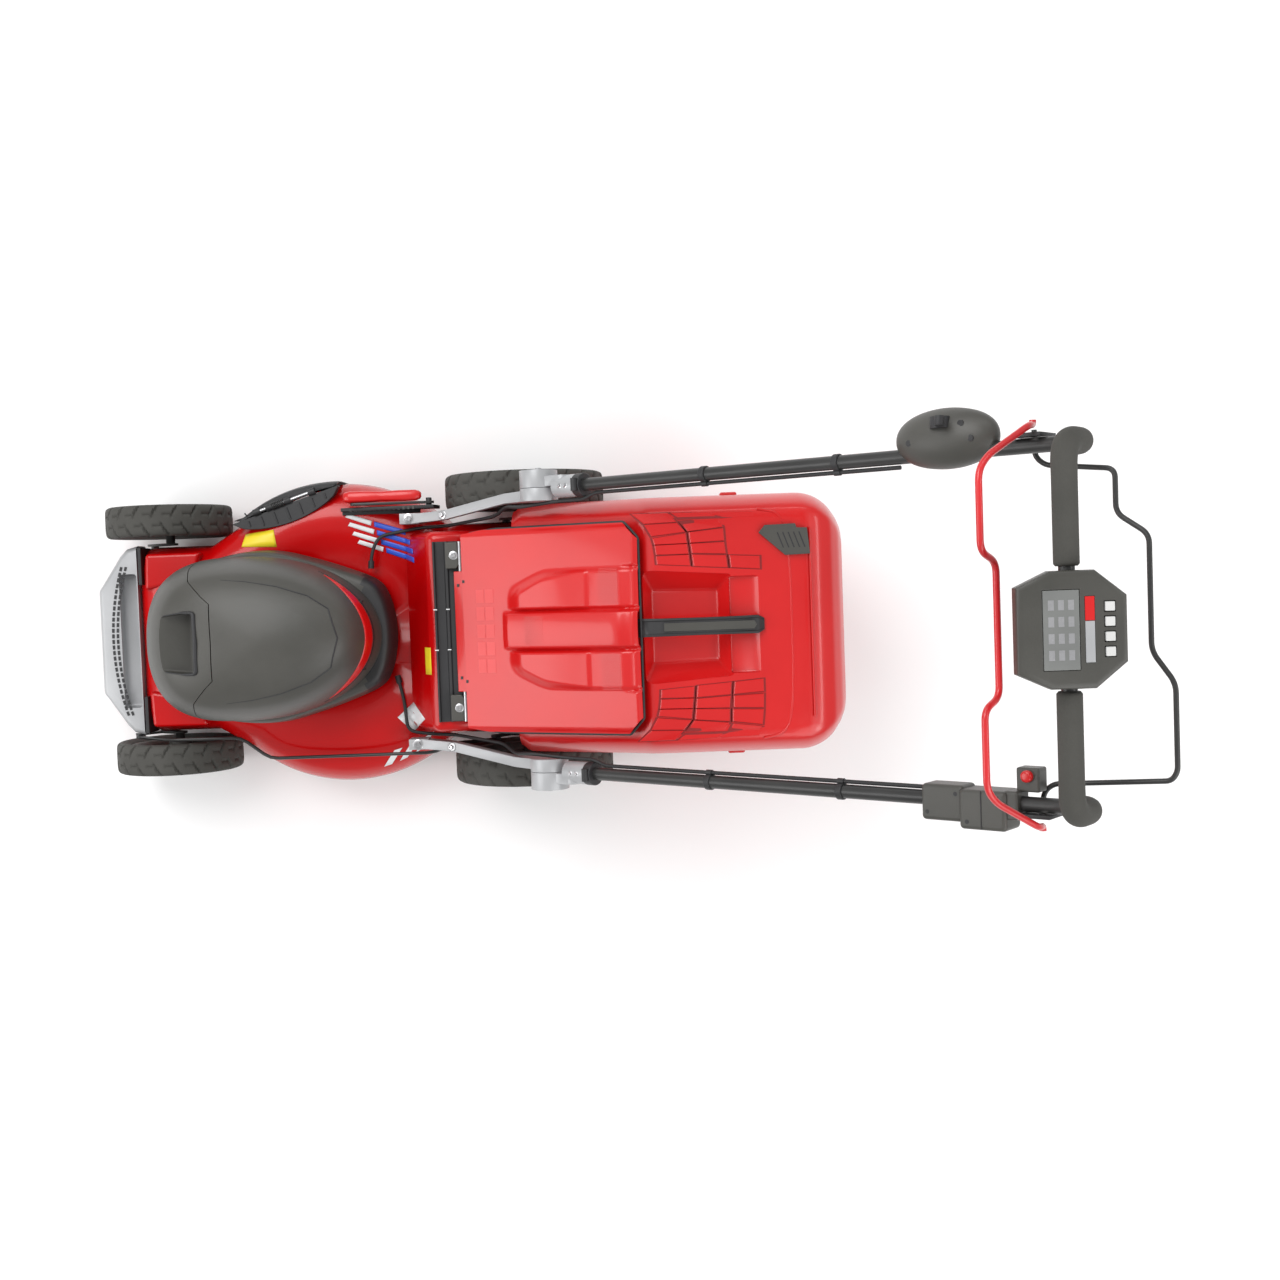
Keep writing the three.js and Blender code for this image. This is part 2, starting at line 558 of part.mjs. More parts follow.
for (const [side, sign] of sides) {
  wheel(`front_${side}`, FRONT_AXLE_X, FRONT_WHEEL_R, FRONT_TRACK_HALF, FRONT_TYRE_WIDTH, sign);
  wheel(`rear_${side}`, REAR_AXLE_X, REAR_WHEEL_R, REAR_TRACK_HALF, REAR_TYRE_WIDTH, sign);
}

// ---- rear drive, carried by the rear axle ----
const GEARBOX_HALF = 45;
add('rear_drive', cut(
  join(
    rodY(REAR_AXLE_X, REAR_WHEEL_R, -GEARBOX_HALF, GEARBOX_HALF, 24, 24),
    link(REAR_PIVOT, REAR_AXLE, 13, -12, 12),
    rodY(REAR_AXLE_X, REAR_WHEEL_R, -REAR_PLATE_Y + 1, REAR_PLATE_Y - 1, 6, 16),
  ),
  rodY(REAR_PIVOT.x, REAR_PIVOT.z, -60, 60, AXLE_BAR_R + 0.4),
), 'steel');

// ---- rear flap and its black hinge channel ----
const CHANNEL_HALF = 152;
const CHANNEL_X = FLAP_HINGE_X - 47;
add('hinge_channel', join(
  block(CHANNEL_X, CHANNEL_X + 42, -CHANNEL_HALF, CHANNEL_HALF, TUNNEL_TOP_Z + GAP, TUNNEL_TOP_Z + 4),
  block(CHANNEL_X, CHANNEL_X + 4, -CHANNEL_HALF, CHANNEL_HALF, TUNNEL_TOP_Z + 3, TUNNEL_TOP_Z + 12),
), 'black');
const flapAlong = at(Math.cos(FLAP_ANGLE * radians), 0, Math.sin(FLAP_ANGLE * radians));
const flapUp = at(-flapAlong.z, 0, flapAlong.x);
const flapPoint = (along, up) => {
  const p = at(FLAP_HINGE_X, 0, FLAP_HINGE_Z).addScaledVector(flapAlong, along).addScaledVector(flapUp, up);
  return [p.x, p.z];
};
add('rear_flap', join(
  profile([flapPoint(0, 0), flapPoint(FLAP_LENGTH, 0), flapPoint(FLAP_LENGTH, FLAP_THICK),
    flapPoint(0, FLAP_THICK)], -FLAP_HALF, FLAP_HALF),
  rodY(FLAP_HINGE_X, FLAP_HINGE_Z, -150, 150, 5, 16),
), 'red');

// ---- grass box ----
const BOX_FLOOR_Z = 160;
const boxProfile = [
  [BOX_FRONT_X, BOX_FLOOR_Z + 12], [BOX_FRONT_X, 336], [BOX_FRONT_X + 208, 436],
  [BOX_FRONT_X + 224, BOX_TOP_Z],
  [BOX_REAR_X - 59, BOX_TOP_Z], [BOX_REAR_X - 17, 425], [BOX_REAR_X, 380], [BOX_REAR_X, 290],
  [BOX_REAR_X - 39, 190], [BOX_REAR_X - 119, BOX_FLOOR_Z], [BOX_FRONT_X + 82, BOX_FLOOR_Z],
];
function boxPlan() {
  const rounded = [[BOX_FRONT_X, BOX_HALF - 12], [BOX_FRONT_X + 12, BOX_HALF]];
  for (let i = 0; i <= 6; i++) {
    const angle = ((90 - i * 15) * Math.PI) / 180;
    rounded.push([BOX_REAR_X - BOX_CORNER + BOX_CORNER * Math.cos(angle),
      BOX_HALF - BOX_CORNER + BOX_CORNER * Math.sin(angle)]);
  }
  return mirrored(rounded);
}
const boxOuter = profile(boxProfile, -BOX_HALF, BOX_HALF).intersect(prism(boxPlan(), 100, 500));
const boxCentre = [(BOX_FRONT_X + BOX_REAR_X) / 2, 0, 305];
const boxInner = boxOuter
  .translate(boxCentre.map((v) => -v))
  .scale([1 - (2 * BOX_WALL) / (BOX_REAR_X - BOX_FRONT_X), 1 - BOX_WALL / BOX_HALF,
    1 - (2 * BOX_WALL) / (BOX_TOP_Z - BOX_FLOOR_Z)])
  .translate(boxCentre);
const RECESS_Z = BOX_TOP_Z - 34;
const RECESS_START_X = BOX_FRONT_X + 232;
const RECESS_END_X = RECESS_START_X + 138;
const RECESS_HALF = 88;
const recessOuter = block(RECESS_START_X - BOX_WALL, RECESS_END_X + BOX_WALL, -RECESS_HALF - BOX_WALL,
  RECESS_HALF + BOX_WALL, RECESS_Z - BOX_WALL, BOX_TOP_Z - 1);
const catcher = cut(
  join(cut(boxOuter, boxInner), recessOuter),
  block(RECESS_START_X, RECESS_END_X, -RECESS_HALF, RECESS_HALF, RECESS_Z, BOX_TOP_Z + 20),
  block(BOX_FRONT_X - 20, BOX_FRONT_X + 20, -160, 160, 186, 318),
);
add('catcher', catcher, 'red');
add('catcher_handle', join(
  block(RECESS_START_X - 14, RECESS_END_X + 24, -15, 15, BOX_TOP_Z + 8, BOX_TOP_Z + 18),
  block(RECESS_START_X - 19, RECESS_START_X - 4, -15, 15, BOX_TOP_Z + GAP, BOX_TOP_Z + 18),
  block(RECESS_END_X + 14, RECESS_END_X + 29, -15, 15, BOX_TOP_Z + GAP, BOX_TOP_Z + 18),
), 'black');
const FILL_FLAP_X = RECESS_END_X + 32;
add('fill_flap', join(
  block(FILL_FLAP_X, FILL_FLAP_X + 75, 104, 156, BOX_TOP_Z + 2, BOX_TOP_Z + 5),
  rodY(FILL_FLAP_X, BOX_TOP_Z + 4, 106, 154, 3, 12),
), 'black');

// ---- handle brackets, folding sockets and tube ----
const ARM_FOOT = at(140, 195, 216);
const HALF_DRUM_INNER = HANDLE_HALF - 21;
const HALF_DRUM_OUTER = HANDLE_HALF + 29;
const PIVOT_PIN_R = 5;
const handleAlong = at(Math.cos(HANDLE_ANGLE * radians), 0, Math.sin(HANDLE_ANGLE * radians));
const handleUp = at(-handleAlong.z, 0, handleAlong.x);
const pivot = at(PIVOT_X, 0, PIVOT_Z);
const onHandle = (s, y, up = 0) => pivot.clone().addScaledVector(handleAlong, s)
  .addScaledVector(handleUp, up).setY(y);

for (const [side, sign] of sides) {
  const y = (value) => sign * value;
  // Arm from the deck shoulder up and out to the drum.
  const armSection = (x, yMid, z, half, height) => [
    at(x, y(yMid - half), z - height), at(x, y(yMid + half), z - height),
    at(x, y(yMid + half), z + height), at(x, y(yMid - half), z + height),
  ];
  const arm = loft([
    armSection(ARM_FOOT.x, ARM_FOOT.y, ARM_FOOT.z, 8, 17),
    armSection(ARM_FOOT.x + 30, ARM_FOOT.y + 1, ARM_FOOT.z + 20, 8, 15),
    armSection(ARM_FOOT.x + 60, ARM_FOOT.y + 3, ARM_FOOT.z + 36, 8, 15),
    armSection(PIVOT_X - 60, HANDLE_HALF - 13, PIVOT_Z - 44, 8, 17),
    armSection(PIVOT_X - 8, HANDLE_HALF - 11, PIVOT_Z - 4, 9, 20),
  ]);
  const innerDrum = rodY(PIVOT_X, PIVOT_Z, ...span(sign, HALF_DRUM_INNER, HANDLE_HALF - GAP), PIVOT_R, 24);
  const pin = rodY(PIVOT_X, PIVOT_Z, ...span(sign, HANDLE_HALF - 2, HALF_DRUM_OUTER + 4), PIVOT_PIN_R, 16);
  const foot = block(ARM_FOOT.x - 22, ARM_FOOT.x + 12, ...span(sign, ARM_FOOT.y - 9, ARM_FOOT.y + 9),
    DECK_TOP_Z + GAP, ARM_FOOT.z + 17);
  const underFoot = block(0, 500, ...span(sign, 100, 260), 0, DECK_TOP_Z + GAP);
  add(`bracket_${side}`, cut(join(arm, innerDrum, pin, foot), underFoot), 'silver');

  const outerDrum = rodY(PIVOT_X, PIVOT_Z, ...span(sign, HANDLE_HALF + GAP, HALF_DRUM_OUTER), PIVOT_R, 24);
  const neck = link(onHandle(12, 0), onHandle(52, 0), 15, ...span(sign, HANDLE_HALF + 2, HANDLE_HALF + 18));
  const sleeve = rod(onHandle(42, y(HANDLE_HALF)), onHandle(92, y(HANDLE_HALF)), 18, 20);
  add(`socket_${side}`, cut(
    join(outerDrum, neck, sleeve),
    rodY(PIVOT_X, PIVOT_Z, ...span(sign, HANDLE_HALF - 30, HANDLE_HALF + 40), PIVOT_PIN_R + 0.6, 20),
    rod(onHandle(50, y(HANDLE_HALF)), onHandle(120, y(HANDLE_HALF)), HANDLE_R + GAP, 20),
    rodY(PIVOT_X, PIVOT_Z, ...span(sign, 150, HANDLE_HALF), PIVOT_R + 3, 28),
  ), 'silver');
}

const TUBE_BEND = 30;
const tubeCorners = [
  onHandle(52, -HANDLE_HALF), onHandle(HANDLE_LENGTH, -HANDLE_HALF),
  onHandle(HANDLE_LENGTH, -HANDLE_HALF, HANDLE_RISE), onHandle(HANDLE_LENGTH, HANDLE_HALF, HANDLE_RISE),
  onHandle(HANDLE_LENGTH, HANDLE_HALF), onHandle(52, HANDLE_HALF),
];
add('handle_tube', tube(tubeCorners, HANDLE_R, TUBE_BEND, 12, 5), 'blackMetal');

// Foam sleeves on each half of the crossbar, over the corner bends.
const GRIP_INNER_Y = 76;
for (const [side, sign] of sides) {
  const corners = [
    onHandle(HANDLE_LENGTH, sign * GRIP_INNER_Y, HANDLE_RISE),
    onHandle(HANDLE_LENGTH, sign * HANDLE_HALF, HANDLE_RISE),
    onHandle(HANDLE_LENGTH, sign * HANDLE_HALF),
    onHandle(HANDLE_LENGTH - 34, sign * HANDLE_HALF),
  ];
  const bore = [...corners];
  bore[0] = onHandle(HANDLE_LENGTH, sign * (GRIP_INNER_Y - 9), HANDLE_RISE);
  bore[3] = onHandle(HANDLE_LENGTH - 44, sign * HANDLE_HALF);
  add(`grip_${side}`, cut(
    tube(corners, GRIP_R, TUBE_BEND, 12, 5),
    tube(bore, HANDLE_R + 1, TUBE_BEND, 12, 5),
  ), 'rubber');
}

// ---- display on the crossbar ----
const crossbar = onHandle(HANDLE_LENGTH, 0, HANDLE_RISE);
const DISPLAY_TOP = crossbar.z + 38;
const displayShape = mirrored([
  [crossbar.x - 71, 52], [crossbar.x - 30, 71], [crossbar.x + 24, 71], [crossbar.x + 62, 40],
]);
const slab = prism(displayShape, DISPLAY_TOP - 26, DISPLAY_TOP);
const clamp = block(crossbar.x - 22, crossbar.x + 24, -62, 62, crossbar.z - 17, DISPLAY_TOP - 20);
const WINDOW = [crossbar.x - 40, crossbar.x + 4, -48, 48];
const buttonX = crossbar.x + 40;
const BUTTON_HALF = 6;
const buttonYs = [-27, -9, 9, 27];
const BUTTON_TRAVEL = 2;
add('display_housing', cut(
  join(slab, clamp),
  rodY(crossbar.x, crossbar.z, -90, 90, HANDLE_R + GAP, 20),
  block(...WINDOW, DISPLAY_TOP - 3, DISPLAY_TOP + 1),
  ...buttonYs.map((y) => block(buttonX - BUTTON_HALF - 0.5, buttonX + BUTTON_HALF + 0.5,
    y - BUTTON_HALF - 0.5, y + BUTTON_HALF + 0.5, DISPLAY_TOP - 8, DISPLAY_TOP + 1)),
), 'dark');
add('display_window', block(WINDOW[0] + GAP, WINDOW[1] - GAP, WINDOW[2] + GAP, WINDOW[3] - GAP,
  DISPLAY_TOP - 3 + GAP, DISPLAY_TOP - 0.4), 'glass');
buttonYs.forEach((y, i) => add(`panel_button_${i + 1}`, block(buttonX - BUTTON_HALF, buttonX + BUTTON_HALF,
  y - BUTTON_HALF, y + BUTTON_HALF, DISPLAY_TOP - 8 + BUTTON_TRAVEL + 0.5, DISPLAY_TOP + 2), 'pale'));

// ---- speed pod on the right tube, with its thumb lever ----
const POD_S = 735;
const podCentre = onHandle(POD_S, HANDLE_HALF + 19);
const podBall = new THREE.SphereGeometry(1, 18, 12).scale(74, 41, 33)
  .rotateY(-HANDLE_ANGLE * radians).translate(...podCentre);
const tubeBore = (sign) => rod(onHandle(600, sign * HANDLE_HALF), onHandle(880, sign * HANDLE_HALF),
  HANDLE_R + GAP, 20);
const thumbPivot = onHandle(POD_S + 4, HANDLE_HALF + 42, 28);
add('speed_pod', cut(
  asSolid(podBall), tubeBore(1),
  rodY(thumbPivot.x, thumbPivot.z, HANDLE_HALF + 30, HANDLE_HALF + 80, 15, 24),
), 'dark');
const thumbTip = thumbPivot.clone().addScaledVector(handleUp, 24).addScaledVector(handleAlong, 12);
add('thumb_lever', join(
  rodY(thumbPivot.x, thumbPivot.z, HANDLE_HALF + 31, HANDLE_HALF + 46, 13, 20),
  link(thumbPivot, thumbTip, 6, HANDLE_HALF + 33, HANDLE_HALF + 45),
), 'black');

// ---- switch box and start button on the left tube ----
function onTubeBlock(s0, s1, y0, y1, up0, up1) {
  const corners = [[s0, up0], [s1, up0], [s1, up1], [s0, up1]].map(([s, up]) => {
    const p = onHandle(s, 0, up);
    return [p.x, p.z];
  });
  return profile(corners, y0, y1);
}
const buttonAt = (up) => onHandle(838, -193, up);
add('switch_box', cut(
  join(
    onTubeBlock(690, 752, -258, -208, -22, 20),
    onTubeBlock(748, 815, -266, -212, -24, 24),
    onTubeBlock(812, 829, -250, -212, -18, 18),
    onTubeBlock(822, 854, -214, -182, -20, 6),
  ),
  tubeBore(-1),
  rod(buttonAt(-4), buttonAt(38), 9, 20),
), 'dark');
add('start_button', rod(buttonAt(0), buttonAt(12), 8, 20), 'red');

// ---- bails ----
// Bail corners as side position, reach and height from its pivot, from left to right.
function bail(pivotPoint, corners, radius, bend) {
  const path = corners.map(([y, x, z]) => at(pivotPoint.x + x, y, pivotPoint.z + z));
  return tube(path, radius, bend, 8, 3);
}
const mirrorPath = (half) => [...half.map(([y, x, z]) => [-y, x, z]), ...[...half].reverse()];
const drivePivot = onHandle(858, 0, 6);
const DRIVE_BAIL_R = 4.5;
add('drive_bail', bail(drivePivot, mirrorPath([
  [262, 0, 0], [256, 0, 0], [254, -10, 22], [215, -72, 58], [196, -86, 70], [98, -86, 70], [84, -62, 46],
]), DRIVE_BAIL_R, 14), 'red');
const motorPivot = onHandle(846, 0, -24);
const MOTOR_BAIL_R = 3.5;
add('motor_bail', bail(motorPivot, [
  [-252, 0, 0], [-218, 0, 0], [-206, 12, 4], [-196, 138, 84], [-184, 144, 90], [-74, 144, 90],
  [-34, 120, 75], [112, 120, 75], [140, 86, 54], [196, 86, 54], [206, 12, 4], [218, 0, 0], [252, 0, 0],
], MOTOR_BAIL_R, 12), 'blackMetal');

// ---- bail hinge plates on the tubes ----
for (const [side, sign] of sides) {
  add(`bail_plate_${side}`, cut(
    onTubeBlock(832, 872, ...span(sign, HANDLE_HALF + HANDLE_R + 1, HANDLE_HALF + HANDLE_R + 6), -32, 16),
    rodY(drivePivot.x, drivePivot.z, -300, 300, DRIVE_BAIL_R + 0.6, 16),
    rodY(motorPivot.x, motorPivot.z, -300, 300, MOTOR_BAIL_R + 0.6, 16),
  ), 'black');
}

// ---- cables ----
const CABLE_R = 3;
const CABLE_Y = HANDLE_HALF - HANDLE_R - CABLE_R - 1;
const CABLE_TURN_Y = HANDLE_HALF - 23;
const handleCable = (sign, end) => tube([
  onHandle(PIVOT_R + 7, sign * CABLE_TURN_Y), onHandle(96, sign * CABLE_TURN_Y),
  onHandle(118, sign * CABLE_Y), onHandle(end, sign * CABLE_Y),
], CABLE_R, 8, 8, 2);
add('handle_cable_right', handleCable(1, 664), 'black');
add('handle_cable_left', handleCable(-1, 688), 'black');
const DECK_CABLE_Y = TUNNEL_HALF + 10;
const deckCable = (sign, hoodPoints) => tube([
  at(PIVOT_X - PIVOT_R - 5, sign * (CABLE_TURN_Y - 7), PIVOT_Z + 4),
  at(PIVOT_X - 57, sign * (CABLE_TURN_Y - 3), PIVOT_Z - 30),
  at(PIVOT_X - 79, sign * (DECK_CABLE_Y + 10), PIVOT_Z - 68),
  at(200, sign * DECK_CABLE_Y, 236), at(150, sign * DECK_CABLE_Y, DECK_TOP_Z + 6),
  at(112, sign * (DECK_CABLE_Y - 6), DECK_TOP_Z + 5), ...hoodPoints,
], CABLE_R, 16, 8, 2);
add('deck_cable_right', deckCable(1, [
  at(76, 168, DECK_TOP_Z + 5), at(62, 140, DECK_TOP_Z + 5), at(60, 112, DECK_TOP_Z + 5),
]), 'black');
add('deck_cable_left', deckCable(-1, [at(108, -120, DECK_TOP_Z + 5), at(98, -76, DECK_TOP_Z + 5)]), 'black');

// ---- centre the whole mower on its own box ----
const whole = new THREE.Box3().setFromObject(group);
const middle = whole.getCenter(at(0, 0, 0));
group.position.set(-middle.x, -middle.y, -whole.min.z);
group.updateMatrixWorld(true);

export default group;
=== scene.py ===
from math import asin, cos, pi, radians, sin

import bmesh
import bpy
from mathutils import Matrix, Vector


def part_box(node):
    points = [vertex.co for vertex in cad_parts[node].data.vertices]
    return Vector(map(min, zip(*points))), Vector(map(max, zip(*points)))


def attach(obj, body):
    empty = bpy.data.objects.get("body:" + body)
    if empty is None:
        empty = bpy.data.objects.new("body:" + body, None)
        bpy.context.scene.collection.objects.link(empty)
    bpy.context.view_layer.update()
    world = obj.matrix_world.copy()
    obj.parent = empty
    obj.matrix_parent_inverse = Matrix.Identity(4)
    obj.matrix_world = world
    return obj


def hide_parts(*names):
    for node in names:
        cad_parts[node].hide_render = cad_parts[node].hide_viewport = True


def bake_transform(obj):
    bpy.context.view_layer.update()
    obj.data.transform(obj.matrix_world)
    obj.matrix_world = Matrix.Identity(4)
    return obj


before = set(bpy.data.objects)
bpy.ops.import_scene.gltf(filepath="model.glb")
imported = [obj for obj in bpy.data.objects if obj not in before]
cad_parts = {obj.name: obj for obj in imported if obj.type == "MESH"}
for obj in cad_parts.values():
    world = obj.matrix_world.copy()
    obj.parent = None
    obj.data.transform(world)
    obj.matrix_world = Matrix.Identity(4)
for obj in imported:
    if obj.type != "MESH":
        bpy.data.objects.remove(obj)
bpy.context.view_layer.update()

# --- view and light -------------------------------------------------------------------------
# A camera straight above the mower, a pale floor and soft studio light. The middle plane and
# the blade axis come from the frame, and every place is given from them by spot().
deck_low, deck_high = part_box("deck")
MIDDLE_Y = (deck_low.y + deck_high.y) / 2
adapter_low, adapter_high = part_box("blade_adapter")
BLADE_X = (adapter_low.x + adapter_high.x) / 2


def spot(x, y, z):
    """Place in the frame of a point given from the blade axis, the middle plane and the ground."""
    return Vector((BLADE_X + x, MIDDLE_Y + y, z))


CAMERA_HEIGHT = 2.88
camera_data = bpy.data.cameras.new("camera")
camera_data.lens = 43.2
camera = bpy.data.objects.new("camera", camera_data)
camera.location = spot(0.528, 0.085, CAMERA_HEIGHT)
camera.rotation_euler = (radians(-2.45), 0, radians(-2.1))
bpy.context.scene.collection.objects.link(camera)
bpy.context.scene.camera = camera
bpy.context.scene.view_settings.view_transform = "Standard"


def add_light(name, place, size, power, aim=Vector((0, 0, 0.3)), width=None):
    data = bpy.data.lights.new(name, "AREA")
    data.shape = "RECTANGLE" if width else "DISK"
    data.size = size
    data.size_y = width or size
    data.energy = power
    light = bpy.data.objects.new(name, data)
    light.location = place
    light.rotation_euler = (place - aim).to_track_quat("Z", "Y").to_euler()
    bpy.context.scene.collection.objects.link(light)


add_light("key_light", Vector((-1.2, 1.6, 3.0)), 2.2, 60)
add_light("fill_light", Vector((1.6, -1.8, 2.6)), 2.6, 38)
add_light("front_light", Vector((-2.6, -0.4, 1.7)), 1.8, 26)
add_light("strip_light", Vector((0.3, 2.1, 1.9)), 3.2, 12, width=0.25)
add_light("rear_strip", Vector((2.1, -0.3, 2.0)), 2.0, 10, width=0.25)
world = bpy.data.worlds.new("studio")
world.use_nodes = True
world.node_tree.nodes["Background"].inputs["Color"].default_value = (1, 1, 1, 1)
world.node_tree.nodes["Background"].inputs["Strength"].default_value = 0.55
bpy.context.scene.world = world

floor_mesh = bpy.data.meshes.new("floor")
floor_mesh.from_pydata([(-6, -6, 0), (6, -6, 0), (6, 6, 0), (-6, 6, 0)], [], [(0, 1, 2, 3)])
floor = bpy.data.objects.new("floor", floor_mesh)
floor_material = bpy.data.materials.new("floor_paper")
floor_material.use_nodes = True
floor_shader = floor_material.node_tree.nodes["Principled BSDF"]
floor_shader.inputs["Base Color"].default_value = (0.93, 0.93, 0.93, 1)
floor_shader.inputs["Roughness"].default_value = 0.9
floor_mesh.materials.append(floor_material)
bpy.context.scene.collection.objects.link(floor)

# --- deck -----------------------------------------------------------------------------------
# Pressed steel deck in glossy red powder coat: a rounded shoulder over a straight skirt, open
# below, with a raised outlet tunnel at the back and a doorway for the side guard.


# A finish mixes two close tones with slow noise, breaks up the gloss a little and adds a fine
# bump for mould grain or the orange peel of powder coat.
def surface_finish(name, tones, roughness, grain, bump, metallic=0.0, coat=0.0, blotch=9.0, specular=0.5):
    material = bpy.data.materials.new(name)
    material.use_nodes = True
    tree = material.node_tree
    shader = tree.nodes["Principled BSDF"]
    shader.inputs["Metallic"].default_value = metallic
    shader.inputs["Coat Weight"].default_value = coat
    shader.inputs["Coat Roughness"].default_value = 0.08
    shader.inputs["Specular IOR Level"].default_value = specular
    place = tree.nodes.new("ShaderNodeTexCoord")
    slow = tree.nodes.new("ShaderNodeTexNoise")
    slow.inputs["Scale"].default_value = blotch
    slow.inputs["Detail"].default_value = 5
    fine = tree.nodes.new("ShaderNodeTexNoise")
    fine.inputs["Scale"].default_value = grain
    fine.inputs["Detail"].default_value = 3
    tone = tree.nodes.new("ShaderNodeValToRGB")
    tone.color_ramp.elements[0].position = 0.3
    tone.color_ramp.elements[0].color = (*tones[0], 1)
    tone.color_ramp.elements[1].position = 0.7
    tone.color_ramp.elements[1].color = (*tones[1], 1)
    gloss = tree.nodes.new("ShaderNodeMapRange")
    gloss.inputs["To Min"].default_value = roughness * 0.86
    gloss.inputs["To Max"].default_value = min(roughness * 1.16, 1)
    relief = tree.nodes.new("ShaderNodeBump")
    relief.inputs["Strength"].default_value = bump
    relief.inputs["Distance"].default_value = 0.0006
    link = tree.links.new
    link(place.outputs["Object"], slow.inputs["Vector"])
    link(place.outputs["Object"], fine.inputs["Vector"])
    link(slow.outputs["Fac"], tone.inputs["Fac"])
    link(tone.outputs["Color"], shader.inputs["Base Color"])
    link(slow.outputs["Fac"], gloss.inputs["Value"])
    link(gloss.outputs["Result"], shader.inputs["Roughness"])
    link(fine.outputs["Fac"], relief.inputs["Height"])
    link(relief.outputs["Normal"], shader.inputs["Normal"])
    return material


deck_paint = surface_finish("deck_paint", ((0.43, 0.0003, 0.001), (0.52, 0.0006, 0.0015)), 0.24, 420, 0.1,
                            coat=0.25, blotch=5, specular=0.3)
black_plastic = surface_finish("black_plastic", ((0.012, 0.012, 0.013), (0.022, 0.022, 0.024)), 0.5, 1000,
                               0.35)
DECK_RADIUS = (deck_high.y - deck_low.y) / 2
RIM_Z = deck_low.z
DECK_TOP_Z = 0.195
DECK_FRONT = deck_low.x - BLADE_X
DECK_REAR = deck_high.x - BLADE_X
FRONT_HALF = 0.165
REAR_HALF = 0.188
SHEET_STEEL = 0.0025


def piece_from(name, points, faces, material, smooth=True):
    """Mesh object in the scene, with doubles merged and its faces turned outwards."""
    mesh = bpy.data.meshes.new(name)
    mesh.from_pydata([tuple(p) for p in points], [], faces)
    shape = bmesh.new()
    shape.from_mesh(mesh)
    bmesh.ops.remove_doubles(shape, verts=shape.verts, dist=1e-6)
    bmesh.ops.recalc_face_normals(shape, faces=shape.faces)
    shape.to_mesh(mesh)
    shape.free()
    mesh.materials.append(material)
    mesh.polygons.foreach_set("use_smooth", [smooth] * len(mesh.polygons))
    piece = bpy.data.objects.new(name, mesh)
    bpy.context.scene.collection.objects.link(piece)
    return piece


def ring_faces(rings, count, close_start=True, close_end=True):
    """Quads between rings of equal count, with an end polygon where the skin closes."""
    faces = []
    for k in range(rings - 1):
        for i in range(count):
            j = (i + 1) % count
            faces.append((k * count + i, k * count + j, (k + 1) * count + j, (k + 1) * count + i))
    if close_start:
        faces.append(tuple(reversed(range(count))))
    if close_end:
        faces.append(tuple(range((rings - 1) * count, rings * count)))
    return faces


def baked(piece):
    """Modifiers turned into mesh, and the modifiers taken away."""
    bpy.context.view_layer.update()
    solid = bpy.data.meshes.new_from_object(piece.evaluated_get(bpy.context.evaluated_depsgraph_get()))
    old = piece.data
    piece.modifiers.clear()
    piece.data = solid
    solid.name = piece.name
    bpy.data.meshes.remove(old)
    return piece


def thicken(piece, thickness, offset=-1):
    """Open skin given a wall, inwards unless the offset says otherwise, and baked."""
    wall = piece.modifiers.new("wall", "SOLIDIFY")
    wall.thickness = thickness
    wall.offset = offset
    return baked(piece)


def soften(piece, width, segments=3, angle=30):
    bevel = piece.modifiers.new("edge", "BEVEL")
    bevel.width = width
    bevel.segments = segments
    bevel.limit_method = "ANGLE"
    bevel.angle_limit = radians(angle)
    baked(piece)
    piece.data.polygons.foreach_set("use_smooth", [True] * len(piece.data.polygons))
    weighted = piece.modifiers.new("flats", "WEIGHTED_NORMAL")
    weighted.keep_sharp = True
    return baked(piece)


def settle(piece, body, slot, *nodes):
    """The piece rides on its body and stands for CAD nodes; the slot is not used."""
    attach(piece, body)
    if nodes:
        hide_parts(*nodes)
    return piece


def deck_outline(inset, left_extra=1.0, front=DECK_FRONT, rear=DECK_REAR):
    """Plan outline of the deck, pulled in by inset, with equal point counts at every inset."""
    def half(sign):
        pull = inset * (left_extra if sign < 0 else 1.0)
        radius = DECK_RADIUS - pull
        side = FRONT_HALF - inset
        back = min(REAR_HALF - inset, radius * 0.9)
        corner = max(0.028 - inset * 0.1, 0.01)
        points = []
        for i in range(7):
            turn = radians(15 * i)
            points.append((front + inset + corner - corner * cos(turn), side - corner + corner * sin(turn)))
        start, end = radians(131), asin(back / radius)
        points.append((-0.232 + inset * 0.1, side))
        for i in range(49):
            turn = start + (end - start) * i / 48
            points.append((radius * cos(turn), radius * sin(turn)))
        for i in range(1, 13):
            x0 = radius * cos(end)
            points.append((x0 + (rear - x0) * i / 12, back))
        return [(x, sign * y) for x, y in points]

    right = half(1)
    left = half(-1)
    return right + left[::-1]


SHOULDER = [(0.0, RIM_Z), (0.0, 0.05), (0.0, 0.08), (0.0, 0.105), (0.0008, 0.125), (0.004, 0.145),
            (0.011, 0.163), (0.022, 0.178), (0.036, 0.188), (0.050, 0.1935), (0.064, 0.195),
            (0.080, 0.1935), (0.098, 0.189), (0.116, 0.183), (0.130, 0.180)]
rings = []
for inset, z in SHOULDER:
    rings += [spot(x, y, z) for x, y in deck_outline(inset, 1.55)]
per_ring = len(deck_outline(0))
deck_shell = piece_from("deck_shell", rings, ring_faces(len(SHOULDER), per_ring, close_start=False),
                        deck_paint)

GUARD_A = Vector((-0.178, 0.199))
GUARD_B = Vector((0.008, 0.260))
guard_run = (GUARD_B - GUARD_A).normalized()
guard_out = Vector((-guard_run.y, guard_run.x))
GUARD_RIM_Z = 0.046


